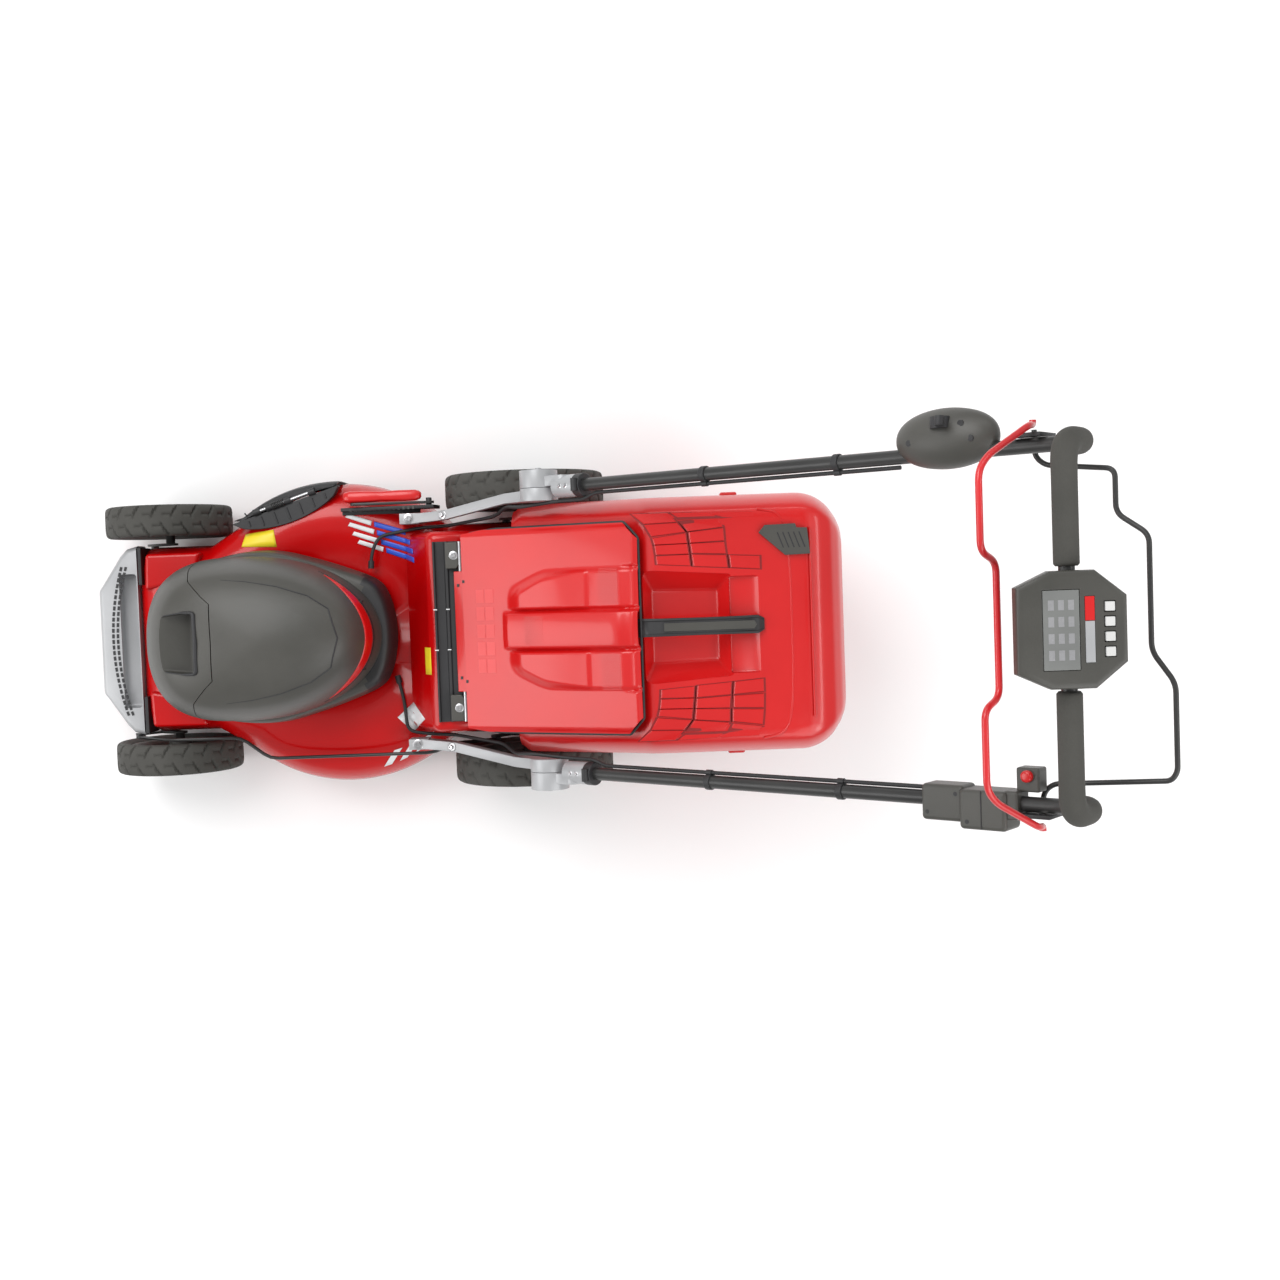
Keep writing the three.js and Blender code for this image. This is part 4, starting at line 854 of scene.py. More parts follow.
crown_path = []
for (x0, y0), (x1, y1) in zip(crown, crown[1:]):
    crown_path += [on_dome(x0 + (x1 - x0) * k / 6, y0 + (y1 - y0) * k / 6) for k in range(6)]
crown_path.append(on_dome(*crown[-1]))
crown_line_piece = round_rod("hood_crown_line", crown_path, lambda share: 0.0004 + 0.0009 * sin(pi * share),
                             black_plastic, bend=0.002, sides=8)
settle(crown_line_piece, "mower_body", "dark_plastic")

# --- rear flap ------------------------------------------------------------------------------
# Red moulded flap hinged on the tunnel, resting on the grass box. Its top carries a rounded
# centre ridge between two tapered humps, with fine ribs near the free end.
FLAP_HINGE = (0.228, 0.306)
FLAP_ANGLE = radians(26.5)
FLAP_LENGTH = 0.333
FLAP_HALF = 0.168
FLAP_SKIN = 0.006


def ease(value, start, end):
    """Smooth rise from 0 at start to 1 at end."""
    t = min(max((value - start) / (end - start), 0.0), 1.0)
    return t * t * (3 - 2 * t)


def on_flap(u, v, up):
    """Place on the flap: distance from the hinge, side position, height above its plane."""
    x = FLAP_HINGE[0] + u * cos(FLAP_ANGLE) - up * sin(FLAP_ANGLE)
    z = FLAP_HINGE[1] + u * sin(FLAP_ANGLE) + up * cos(FLAP_ANGLE)
    return spot(x, v, z)


def flap_height(u, v):
    side = abs(v)
    ridge = 0.0135 * ease(u, 0.082, 0.100) * (1 - ease(side, 0.0265, 0.0325)) * (1 - 0.25 * ease(u, 0.29,
                                                                                                 0.333))
    ridge *= 1 - 0.25 * (side / 0.032) ** 2 if side < 0.032 else 1
    edge = 0.074 + 0.025 * ease(u, 0.085, 0.175)
    slope = 0.026 - 0.018 * ease(u, 0.11, 0.26)
    tall = 0.0115 * (1 - 0.45 * ease(u, 0.16, 0.27))
    hump = tall * ease(u, 0.090, 0.126) * (1 - ease(side, edge - slope, edge)) * ease(side, 0.0325, 0.0375)
    hump -= 0.0022 * ease(u, 0.243, 0.248) * (1 - ease(side, edge - slope, edge)) * ease(side, 0.033, 0.037)
    drop = 0.0035 * ease(u, 0.302, 0.322)
    rim = 0.0045 * ease(side, 0.158, 0.168) + 0.0045 * ease(u, 0.326, 0.333)
    crown = 0.003 * ease(u, 0.03, 0.2) * (1 - (side / FLAP_HALF) ** 2)
    return FLAP_SKIN + crown + ridge + hump - drop * (side < 0.1) - rim


FLAP_STEPS_U, FLAP_STEPS_V = 150, 176
points, faces = [], []
for i in range(FLAP_STEPS_U + 1):
    u = 0.006 + (FLAP_LENGTH - 0.006) * i / FLAP_STEPS_U
    cut_back = 0.026 * max(0.0, (u - (FLAP_LENGTH - 0.025)) / 0.025)
    half = FLAP_HALF - cut_back - 0.006 * (1 - ease(u, 0.0, 0.05))
    for j in range(FLAP_STEPS_V + 1):
        v = half * (2 * j / FLAP_STEPS_V - 1)
        points.append(on_flap(u, v, flap_height(u, v)))
for i in range(FLAP_STEPS_U):
    for j in range(FLAP_STEPS_V):
        k = i * (FLAP_STEPS_V + 1) + j
        faces.append((k, k + 1, k + FLAP_STEPS_V + 2, k + FLAP_STEPS_V + 1))
flap = piece_from("flap_shell", points, faces, red_plastic)
if flap.data.polygons[0].normal.z < 0:
    flap.data.flip_normals()
thicken(flap, 0.0032)
sharpen_ends(flap, 60)
settle(flap, "back_flap", "red_plastic", "rear_flap")

ribs = []
for i in range(24):
    v = 0.041 + i * 0.0024
    for sign in (1, -1):
        ribs.append((on_flap(0.284, sign * v, flap_height(0.284, v) + 0.0002), (0, -FLAP_ANGLE, 0)))
for i in range(18):
    v = (i - 8.5) * 0.0026
    ribs.append((on_flap(0.150, v, flap_height(0.150, v) + 0.0002), (0, -FLAP_ANGLE, 0)))
rib_set = repeat_block("flap_ribs", (0.034, 0.0009, 0.0008), ribs, red_plastic)
settle(rib_set, "back_flap", "red_plastic")

# Blank label patches stand where safety pictograms would be moulded.
patch_paint = surface_finish("patch_paint", ((0.62, 0.05, 0.05), (0.68, 0.07, 0.07)), 0.4, 600, 0.15)
patches = []
for u in (0.040, 0.058):
    for row in range(5):
        v = (row - 2) * 0.029
        patches.append((on_flap(u, v, flap_height(u, v) + 0.0001), (0, -FLAP_ANGLE, 0)))
patch_set = repeat_block("flap_patches", (0.0155, 0.0225, 0.0007), patches, patch_paint)
settle(patch_set, "back_flap", "red_plastic")

# Dark rubber seal round the flap's free edges, which also paints the shadow in the gap under them.
seal_gap_shade_line = [(0.020, 0.1635), (0.070, 0.1685), (FLAP_LENGTH - 0.024, 0.1690),
             (FLAP_LENGTH + 0.0005, 0.1430)]
seal_gap_shade_path = [on_flap(u, v, -0.0005) for u, v in seal_gap_shade_line]
seal_gap_shade_path += [on_flap(u, -v, -0.0005) for u, v in seal_gap_shade_line[::-1]]
seal = round_rod("flap_seal_gap_shade", seal_gap_shade_path, 0.0022, black_plastic, bend=0.004, sides=10)
settle(seal, "back_flap", "black_plastic")

# Hinge strip of the flap with its torsion spring holes, drawn as black blocks that paint the shade inside
# them, and the hinge pin through it.
strip = []
for u, up in ((-0.012, 0.0035), (0.010, 0.0050), (0.010, 0.0020), (-0.012, 0.0005)):
    strip.append((u, up))
points = [on_flap(u, -0.101, up) for u, up in strip] + [on_flap(u, 0.101, up) for u, up in strip]
hinge_strip = piece_from("flap_hinge_strip", points, ring_faces(2, 4), red_plastic, smooth=False)
soften(hinge_strip, 0.001, 2)
settle(hinge_strip, "back_flap", "red_plastic")
hole_shade_spots = [(on_flap(-0.003, sign * 0.0775, 0.0045), (0, -FLAP_ANGLE, 0)) for sign in (1, -1)]
hole_shade_spots += [(on_flap(0.0085, sign * 0.0835, 0.0058), (0, -FLAP_ANGLE, 0)) for sign in (1, -1)]
hole_shade_set = repeat_block("flap_spring_hole_shade", (0.0045, 0.0050, 0.0008), hole_shade_spots, black_plastic)
settle(hole_shade_set, "back_flap", "black_plastic")
flap_pin = round_rod("flap_hinge_pin", [on_flap(0, -0.151, 0), on_flap(0, 0.151, 0)], 0.0036, bright_steel)
settle(flap_pin, "back_flap", "steel")

# --- hinge channel ----------------------------------------------------------------------------
# Black pressed channel screwed across the tunnel in front of the flap, with two grey hinge
# plates and hex bolts; short pale marks on the crests of its lip and rib are painted highlights.
channel_low, channel_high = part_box("hinge_channel")
C0, C1 = channel_low.x - BLADE_X, channel_high.x - BLADE_X
CHANNEL_Z = channel_low.z
half = channel_high.y - MIDDLE_Y
section = [(C0, CHANNEL_Z), (C0, CHANNEL_Z + 0.012), (C0 + 0.003, CHANNEL_Z + 0.012),
           (C0 + 0.004, CHANNEL_Z + 0.004), (C0 + 0.018, CHANNEL_Z + 0.003),
           (C0 + 0.020, CHANNEL_Z + 0.006), (C0 + 0.024, CHANNEL_Z + 0.006),
           (C0 + 0.026, CHANNEL_Z + 0.003), (C1, CHANNEL_Z + 0.003), (C1, CHANNEL_Z)]
channel = plate_from_profile("hinge_channel_rail", section, -half, half, black_plastic)
soften(channel, 0.0008, 2)
settle(channel, "mower_body", "black_plastic", "hinge_channel")
# Pale dashes on the crests of the lip and the rib: painted highlights.
glint_spots = [(spot(x, y, z), (0, 0, 0)) for y in (0.038, -0.030) for x,
         z in ((C0 + 0.0015, CHANNEL_Z + 0.0124), (C0 + 0.022, CHANNEL_Z + 0.0064))]
glint_set = repeat_block("channel_glints", (0.0060, 0.0016, 0.0006), glint_spots, label_white)
settle(glint_set, "mower_body", "black_plastic")


def hex_bolt(name, place, radius, tall, body, slot="steel", aim=Vector((0, 0, 1))):
    """Bolt with a washer, a chamfered six-sided head and a socket in its middle."""
    levels = [(1.75, 0.0), (1.75, 0.16), (1.62, 0.22), (1.0, 0.24), (1.0, 0.78), (0.86, 1.0), (0.5, 1.0),
              (0.5, 0.7), (0.0, 0.7)]
    turn = aim.to_track_quat("Z", "Y")
    points, count = [], 24
    for share, up in levels:
        for i in range(count):
            angle = 2 * pi * i / count
            reach = radius * share
            if share in (1.0, 0.86):
                reach *= cos(pi / 6) / cos((angle % (pi / 3)) - pi / 6)
            points.append(place + turn @ Vector((reach * cos(angle), reach * sin(angle), tall * up)))
    bolt = piece_from(name, points, ring_faces(len(levels), count, True, False), bright_steel)
    sharpen_ends(bolt, 35)
    return settle(bolt, body, slot)


for side, sign in (("right", 1), ("left", -1)):
    outline = [(0.203, sign * 0.106), (0.203, sign * 0.150), (0.224, sign * 0.150), (0.225, sign * 0.112),
               (0.221, sign * 0.106)]
    raised_panel(f"hinge_plate_{side}", outline, CHANNEL_Z + 0.003, 0.3075, dark_plastic, 0.0015,
                 slot="dark_plastic")
    hex_bolt(f"hinge_bolt_{side}", spot(0.217, sign * 0.128, 0.3072), 0.0042, 0.0045, "mower_body")

# --- grass box --------------------------------------------------------------------------------
# Red blow-moulded grass box hung on the tunnel behind the flap, lofted from rounded sections,
# open at its front, with a hand recess under its carry handle.
box_low, box_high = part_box("catcher")
BOX_FRONT = box_low.x - BLADE_X
BOX_REAR = box_high.x - BLADE_X
BOX_HALF = (box_high.y - box_low.y) / 2 + 0.004
BOX_TOP = box_high.z
BOX_FLOOR = box_low.z
BOX_WALL = 0.0035
TOP_LINE = [(0.0, 0.336), (0.030, 0.350), (0.208, 0.436), (0.216, 0.4425), (0.224, 0.4465),
            (0.234, BOX_TOP), (0.452, BOX_TOP), (0.474, 0.4465), (0.496, 0.440), (0.515, 0.428),
            (0.530, 0.408), (0.538, 0.386), (0.541, 0.362)]
FLOOR_LINE = [(0.0, 0.172), (0.082, BOX_FLOOR), (0.400, BOX_FLOOR), (0.440, 0.163), (0.475, 0.176),
              (0.502, 0.198), (0.522, 0.236), (0.534, 0.280), (0.541, 0.330)]
BOX_CORNER = 0.078


def height_on(line, along):
    for (x0, z0), (x1, z1) in zip(line, line[1:]):
        if along <= x1:
            return z0 + (z1 - z0) * (along - x0) / (x1 - x0)
    return line[-1][1]


def box_section(along, inset=0.0):
    """Half section of the box, from the middle of its floor round to the middle of its top."""
    length = BOX_REAR - BOX_FRONT
    past = max(0.0, along - (length - BOX_CORNER)) / BOX_CORNER
    wide = BOX_HALF - BOX_CORNER * (1 - (max(0.0, 1 - past ** 2)) ** 0.5) - inset
    wide -= 0.010 * (1 - ease(along, 0.0, 0.016))
    top = height_on(TOP_LINE, along) - inset
    floor = height_on(FLOOR_LINE, along) + inset
    tall = top - floor
    fit = min(1.0, tall / 0.16)
    points = [(0.0, floor), ((wide - 0.034) * 0.5, floor), (wide - 0.034, floor)]
    for i in range(1, 7):
        turn = radians(15 * i)
        points.append((wide - 0.034 + 0.030 * sin(turn), floor + 0.034 * fit * (1 - cos(turn))))
    points += [(wide - 0.002, floor + tall * 0.35), (wide, floor + tall * 0.55),
               (wide - 0.001, top - 0.062 * fit)]
    for back, down in ((0.004, 0.044), (0.010, 0.027), (0.017, 0.013), (0.0235, 0.0050), (0.0275, 0.0022),
                       (0.034, 0.0008), (0.045, 0.0002)):
        points.append((wide - back, top - down * fit))
    points += [((wide - 0.045) * share, top) for share in (0.8, 0.55, 0.3, 0.0)]
    return points


stations = [0.0, 0.004, 0.010, 0.018, 0.030, 0.060, 0.100, 0.150, 0.200, 0.208, 0.216, 0.224, 0.234,
            0.260, 0.300, 0.340, 0.380,
            0.420] + [0.430 + 0.111 * sin(radians(90 * i / 26)) for i in range(27)]


def box_solid(name, inset=0.0):
    rings = []
    for along in stations:
        x = BOX_FRONT + along
        if inset:
            middle = (BOX_FRONT + BOX_REAR) / 2
            x = middle + (x - middle) * (1 - 2 * inset / (BOX_REAR - BOX_FRONT))
        half = box_section(along, inset)
        full = half + [(-y, z) for y, z in half[-2:0:-1]]
        rings.append([spot(x, y, z) for y, z in full])
    flat = [p for ring in rings for p in ring]
    return piece_from(name, flat, ring_faces(len(rings), len(rings[0])), red_plastic)


def tapered_cutter(top_outline, floor_outline, z_floor, z_top):
    points = [spot(x, y, z_floor) for x, y in floor_outline] + [spot(x, y, z_top) for x, y in top_outline]
    return piece_from("cutter", points, ring_faces(2, len(top_outline)), red_plastic, smooth=False)


def hand_recess(grow=0.0):
    top = [(0.526 - grow, -0.094 - grow), (0.674 + grow, -0.083 - grow), (0.674 + grow, 0.083 + grow),
           (0.526 - grow, 0.094 + grow)]
    floor = [(0.545 - grow, -0.058 - grow), (0.650 + grow, -0.056 - grow), (0.650 + grow, 0.056 + grow),
             (0.545 - grow, 0.058 + grow)]
    return tapered_cutter(top, floor, 0.414 - grow, BOX_TOP + 0.002)


def step_recess(grow=0.0):
    profile = [(0.668 - grow, BOX_TOP + 0.004), (0.668 - grow, 0.436 - grow), (0.704, 0.4405 - grow),
               (0.720 + grow, BOX_TOP + 0.004)]
    return plate_from_profile("cutter", profile, -0.077 - grow, 0.077 + grow, red_plastic)


catcher = box_solid("grass_box_shell")
hollow = box_solid("cutter", BOX_WALL)
carve(catcher, soften(hand_recess(), 0.005, 4), soften(step_recess(), 0.003, 3))
carve(hollow, hand_recess(BOX_WALL), step_recess(BOX_WALL))
carve(catcher, hollow, cutter_box(BOX_FRONT - 0.02, BOX_FRONT + 0.02, -0.160, 0.160, 0.186, 0.318))
catcher.data.polygons.foreach_set("use_smooth", [True] * len(catcher.data.polygons))
sharpen_ends(catcher, 34)
settle(catcher, "grass_box", "red_plastic", "catcher")

# Raised non-slip pads on each side of the top, in four slanted rows; the fill flap takes the
# corner of the right-hand set. Corners are given along the box and out from its middle.
OUTER_PADS = [[(0.515, 0.181), (0.577, 0.181), (0.591, 0.165), (0.535, 0.163)],
              [(0.577, 0.181), (0.643, 0.179), (0.659, 0.169), (0.591, 0.169)],
              [(0.643, 0.179), (0.711, 0.178), (0.714, 0.170), (0.659, 0.169)],
              [(0.535, 0.163), (0.591, 0.165), (0.604, 0.149), (0.546, 0.143)],
              [(0.591, 0.167), (0.656, 0.169), (0.664, 0.155), (0.604, 0.149)],
              [(0.659, 0.168), (0.712, 0.169), (0.716, 0.163), (0.666, 0.156)]]
INNER_PADS = [[(0.547, 0.141), (0.604, 0.148), (0.606, 0.131), (0.550, 0.130)],
              [(0.605, 0.149), (0.664, 0.154), (0.665, 0.133), (0.607, 0.131)],
              [(0.550, 0.130), (0.606, 0.131), (0.608, 0.114), (0.552, 0.114)],
              [(0.607, 0.131), (0.665, 0.132), (0.667, 0.112), (0.609, 0.115)],
              [(0.552, 0.113), (0.608, 0.114), (0.610, 0.095), (0.553, 0.099)],
              [(0.609, 0.114), (0.667, 0.111), (0.669, 0.090), (0.611, 0.094)],
              [(0.668, 0.111), (0.720, 0.108), (0.720, 0.086), (0.670, 0.090)]]
LEFT_ONLY_PADS = [[(0.665, 0.154), (0.716, 0.161), (0.719, 0.135), (0.666, 0.133)],
                  [(0.667, 0.132), (0.719, 0.134), (0.720, 0.110), (0.668, 0.112)]]
# Darker red seen in the grooves between the pads: painted shade.
groove_shade_red = surface_finish("groove_shade_red", ((0.20, 0.002, 0.003), (0.25, 0.003, 0.004)), 0.5, 900, 0.1)
for side, sign, pads in (("right", 1, OUTER_PADS[:5] + INNER_PADS),
                         ("left", -1, OUTER_PADS + INNER_PADS + LEFT_ONLY_PADS)):
    points, faces = [], []
    for pad in pads:
        middle = sum((Vector(p) for p in pad), Vector((0, 0))) / 4
        for share, z in ((0.0022, -0.0005), (0.0022, 0.0010), (0.0036, 0.0018)):
            for p in pad:
                q = Vector(p)
                q += (middle - q).normalized() * share
                points.append(spot(q.x, sign * q.y, BOX_TOP + z - (0.0022 if abs(q.y) > 0.166 else 0)))
        k = len(points) - 12
        for ring in range(2):
            for i in range(4):
                a, b = k + ring * 4 + i, k + ring * 4 + (i + 1) % 4
                faces.append((a, b, b + 4, a + 4))
        faces += [(k + 8, k + 9, k + 10, k + 11), (k + 3, k + 2, k + 1, k)]
    pads_piece = piece_from(f"grass_box_pads_{side}", points, faces, red_plastic, smooth=False)
    settle(pads_piece, "grass_box", "red_plastic")
    # A slightly larger darker red sheet under each pad shows in the gaps between them: painted shade in the
    # grooves.
    points, faces = [], []
    for pad in pads:
        middle = sum((Vector(p) for p in pad), Vector((0, 0))) / 4
        k = len(points)
        for z in (-0.0006, 0.0003):
            for p in pad:
                q = Vector(p) + (Vector(p) - middle).normalized() * 0.0012
                points.append(spot(q.x, sign * q.y, BOX_TOP + z - (0.0022 if abs(q.y) > 0.169 else 0)))
        faces += [(k, k + 1, k + 5, k + 4), (k + 1, k + 2, k + 6, k + 5), (k + 2, k + 3, k + 7, k + 6),
                  (k + 3, k, k + 4, k + 7), (k + 4, k + 5, k + 6, k + 7), (k + 3, k + 2, k + 1, k)]
    groove_shade = piece_from(f"grass_box_groove_shade_{side}", points, faces, groove_shade_red, smooth=False)
    settle(groove_shade, "grass_box", "red_plastic")

# Low bead round the plateau, and a second one behind it along the rear slope.
REAR_BEAD = [(0.716, 0.182), (0.745, 0.176), (0.757, 0.160), (0.763, 0.130), (0.766, 0.070),
             (0.766, -0.070), (0.763, -0.130), (0.757, -0.160), (0.745, -0.176), (0.716, -0.182)]
bead = round_rod("grass_box_bead", [spot(x, y, BOX_TOP - 0.0012) for x, y in REAR_BEAD], 0.0020,
                 red_plastic, bend=0.02, sides=12)
settle(bead, "grass_box", "red_plastic")
slope_line = [spot(0.798, y, 0.4475) for y in (-0.150, 0.150)]
settle(round_rod("grass_box_rear_bead", slope_line, 0.0018, red_plastic, sides=12), "grass_box",
       "red_plastic")
plate_points = [(0.563, 0.0065), (0.705, 0.0065), (0.709, 0.0), (0.705, -0.0065), (0.563, -0.0065)]
raised_panel("grass_box_handle_band", plate_points, BOX_TOP + 0.0175, BOX_TOP + 0.0192, dark_plastic,
             0.0005, body="grass_box", slot="black_plastic")

# Carry handle over the recess: a black bowed bar with raised edges and a rounded foot.
handle_path = [(0.522, 0.4495), (0.534, 0.4575), (0.560, 0.4628), (0.600, 0.4650), (0.650, 0.4650),
               (0.690, 0.4628), (0.712, 0.4575), (0.722, 0.4500)]
HANDLE_SECTION = [(-0.0145, -0.003), (0.0145, -0.003), (0.0150, 0.0), (0.0145, 0.0030), (0.0115, 0.0033),
                  (0.0095, 0.0016), (-0.0095, 0.0016), (-0.0115, 0.0033), (-0.0145, 0.0030), (-0.0150, 0.0)]
points = []
fine_path = []
for (x0, z0), (x1, z1) in zip(handle_path, handle_path[1:]):
    fine_path += [(x0 + (x1 - x0) * k / 5, z0 + (z1 - z0) * k / 5) for k in range(5)]
fine_path.append(handle_path[-1])
for i, (x, z) in enumerate(fine_path):
    toward_end = min(1.0, 0.62 + 0.38 * ((len(fine_path) - 1 - i) / 5))
    waist = 0.93 + 0.07 * abs(2 * i / len(fine_path) - 1)
    taper = toward_end * waist
    points += [spot(x, y * taper, z + up) for y, up in HANDLE_SECTION]
grab = piece_from("grass_box_handle", points, ring_faces(len(fine_path), len(HANDLE_SECTION)),
                  black_plastic)
sharpen_ends(grab, 40)
settle(grab, "grass_box", "black_plastic", "catcher_handle")

# Fill indicator: a dark hinged flap over the air outlet in the right rear corner.
fill_low, fill_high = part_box("fill_flap")
F0 = fill_low.x - BLADE_X
FILL_OUTLINE = [(F0, 0.144), (F0 + 0.010, 0.1555), (F0 + 0.058, 0.1565), (F0 + 0.060, 0.150),
                (F0 + 0.0765, 0.1495), (F0 + 0.0805, 0.108), (F0 + 0.041, 0.107)]
raised_panel("fill_indicator_flap", FILL_OUTLINE, fill_low.z + 0.0005, fill_high.z - 0.0005, dark_plastic,
             0.0008, body="fill_indicator", slot="dark_plastic")
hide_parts("fill_flap")
vents = [(spot(F0 + 0.034 + i * 0.0085, 0.131, fill_high.z - 0.0004), (0, 0, 0.35)) for i in range(5)]
vent_set = repeat_block("fill_indicator_ribs", (0.0018, 0.026, 0.0008), vents, black_plastic)
settle(vent_set, "fill_indicator", "black_plastic")

# Drain slots, as black blocks that paint the shade inside them, and side catches of the box.
slot_shade_spots = [(spot(0.762, sign * 0.172, 0.4405), (0, 0, sign * 0.25)) for sign in (1, -1)]
drain_shade_set = repeat_block("grass_box_slot_shade", (0.0040, 0.0085, 0.0030), slot_shade_spots, black_plastic)
settle(drain_shade_set, "grass_box", "black_plastic")
for side, sign in (("right", 1), ("left", -1)):
    catch = cutter_box(0.662, 0.690, *sorted((sign * (BOX_HALF - 0.004), sign * (BOX_HALF + 0.0045))),
                       0.345, 0.372)
    catch.name = f"grass_box_catch_{side}"
    catch.data.materials[0] = red_plastic
    soften(catch, 0.0035, 4)
    settle(catch, "grass_box", "red_plastic")

# --- wheels -----------------------------------------------------------------------------------
# Dark moulded tyres with curved sipes running in from both shoulders in staggered rows, on
# black moulded rims with ribbed windows and a domed hub cap over the axle end.
tyre_rubber = surface_finish("tyre_rubber", ((0.042, 0.041, 0.036), (0.070, 0.068, 0.062)), 0.72, 800,
                             0.5, specular=0.35)
TYRE_DEPTH = 0.024
SIPE_PITCH = 0.034


def tread_depth(turn, across, radius, half):
    """Depth cut into the tread at an angle and a side position: curved slots in two rows."""
    share = across / half
    count = int(2 * pi * radius / SIPE_PITCH)
    depth = 0.0
    for row in (0, 1):
        sign = 1 if row else -1
        reach = sign * share
        if not 0.10 < reach < 1.05:
            continue
        swing = 0.55 * (reach - 0.10) ** 1.6
        phase = (turn * count / (2 * pi) + swing + 0.5 * row) % 1.0
        if abs(phase - 0.5) < 0.060:
            depth = 0.0034 * ease(reach, 0.10, 0.2)
        if 0.34 < reach < 0.40 and 0.5 < phase < 1.0:
            depth = max(depth, 0.0026)
    return depth


TYRE_PROFILE = [(TYRE_DEPTH, -0.80), (0.018, -0.90), (0.012, -0.985), (0.007, -0.99), (0.0035, -0.93),
                (0.0018, -0.86), (0.0008, -0.76), (0.0003, -0.62), (0.0, -0.48), (0.0, -0.36),
                (0.0, -0.24), (0.0, -0.12), (0.0, -0.04)]
TYRE_PROFILE += [(depth, -share) for depth, share in reversed(TYRE_PROFILE)]


def lathe(name, centre, profile, count, material, sign=1.0):
    """Closed profile of radius and side position, turned about the axle line."""
    points = []
    for i in range(count):
        turn = 2 * pi * i / count
        for radius, across in profile:
            points.append(centre + Vector((radius * cos(turn), sign * across, radius * sin(turn))))
    faces, n = [], len(profile)
    for i in range(count):
        for k in range(n):
            a, b = i * n + k, i * n + (k + 1) % n
            c, d = ((i + 1) % count) * n + (k + 1) % n, ((i + 1) % count) * n + k
            faces.append((a, b, c, d))
    piece = piece_from(name, points, faces, material)
    sharpen_ends(piece, 38)
    return piece


for place in ("front_left", "front_right", "rear_left", "rear_right"):
    tyre_low, tyre_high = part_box(f"{place}_tyre")
    centre = (tyre_low + tyre_high) / 2
    radius = (tyre_high.z - tyre_low.z) / 2
    half = (tyre_high.y - tyre_low.y) / 2
    sign = 1.0 if centre.y > MIDDLE_Y else -1.0
    count = 400
    points, faces, n = [], [], len(TYRE_PROFILE)
    for i in range(count):
        turn = 2 * pi * i / count
        for depth, share in TYRE_PROFILE:
            cut = tread_depth(turn, share * half, radius, half) if depth < 0.006 else 0.0
            reach = radius - 0.0002 - depth - cut
            points.append(centre + Vector((reach * cos(turn), share * half, reach * sin(turn))))
    for i in range(count):
        for k in range(n):
            nxt = (i + 1) % count
            faces.append((i * n + k, i * n + (k + 1) % n, nxt * n + (k + 1) % n, nxt * n + k))
    tyre = piece_from(f"{place}_tread", points, faces, tyre_rubber)
    sharpen_ends(tyre, 45)
    settle(tyre, f"{place}_wheel", "tyre_rubber", f"{place}_tyre")

    seat = radius - TYRE_DEPTH - 0.0006
    rim_profile = [(0.0075, -half + 0.004), (0.020, -half + 0.004), (0.021, -0.006),
                   (seat - 0.016, -0.009), (seat - 0.008, -half + 0.008), (seat - 0.001, -half + 0.006),
                   (seat, -half + 0.010), (seat, half - 0.010), (seat - 0.001, half - 0.006),
                   (seat - 0.005, half - 0.006), (seat - 0.010, half - 0.012), (seat - 0.015, 0.010),
                   (0.030, 0.006), (0.027, half - 0.008), (0.024, half - 0.004), (0.0075, half - 0.004)]
    rim = lathe(f"{place}_rim_shell", centre, rim_profile, 72, dark_plastic, sign)
    settle(rim, f"{place}_wheel", "dark_plastic", f"{place}_rim")
    spokes = []
    span = seat - 0.016 - 0.028
    for i in range(10):
        turn = 2 * pi * i / 10
        reach = 0.028 + span / 2
        spokes.append((centre + Vector((reach * cos(turn), sign * 0.012, reach * sin(turn))),
                       (0, -turn, 0)))
    spoke_set = repeat_block(f"{place}_rim_ribs", (span, 0.012, 0.0045), spokes, dark_plastic)
    settle(spoke_set, f"{place}_wheel", "dark_plastic")
    cap_profile = [(0.0005, half - 0.012), (0.023, half - 0.012), (0.0225, half - 0.0045),
                   (0.0205, half - 0.0022), (0.016, half - 0.0009), (0.010, half - 0.0003),
                   (0.0005, half - 0.0001)]
    cap = lathe(f"{place}_hub_cap", centre, cap_profile, 48, silver_lacquer, sign)
    settle(cap, f"{place}_wheel", "dark_plastic")

# --- axles, link rod and height lever ------------------------------------------------------------
# Cranked axles and their link rod in black passivated steel, with a red moulded grip on the
# height lever that runs along a notched black index plate.


def rounded_copy(node, name, width, material, body, slot, segments=2, angle=32):
    """The fixed frame's own shape for a node, with its flats rejoined and its edges rounded."""
    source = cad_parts[node]
    mesh = source.data.copy()
    mesh.name = name
    mesh.transform(source.matrix_world)
    shape = bmesh.new()
    shape.from_mesh(mesh)
    bmesh.ops.remove_doubles(shape, verts=shape.verts, dist=1e-5)
    bmesh.ops.dissolve_limit(shape, angle_limit=radians(1.5), verts=shape.verts, edges=shape.edges)
    bmesh.ops.recalc_face_normals(shape, faces=shape.faces)
    shape.to_mesh(mesh)
    shape.free()
    mesh.materials.clear()
    mesh.materials.append(material)
    piece = bpy.data.objects.new(name, mesh)
    bpy.context.scene.collection.objects.link(piece)
    edge = piece.modifiers.new("edge", "BEVEL")
    edge.width = width
    edge.segments = segments
    edge.limit_method = "ANGLE"
    edge.angle_limit = radians(angle)
    edge.use_clamp_overlap = True
    baked(piece)
    piece.data.polygons.foreach_set("use_smooth", [True] * len(piece.data.polygons))
    sharpen_ends(piece, 50)
    return settle(piece, body, slot, node)


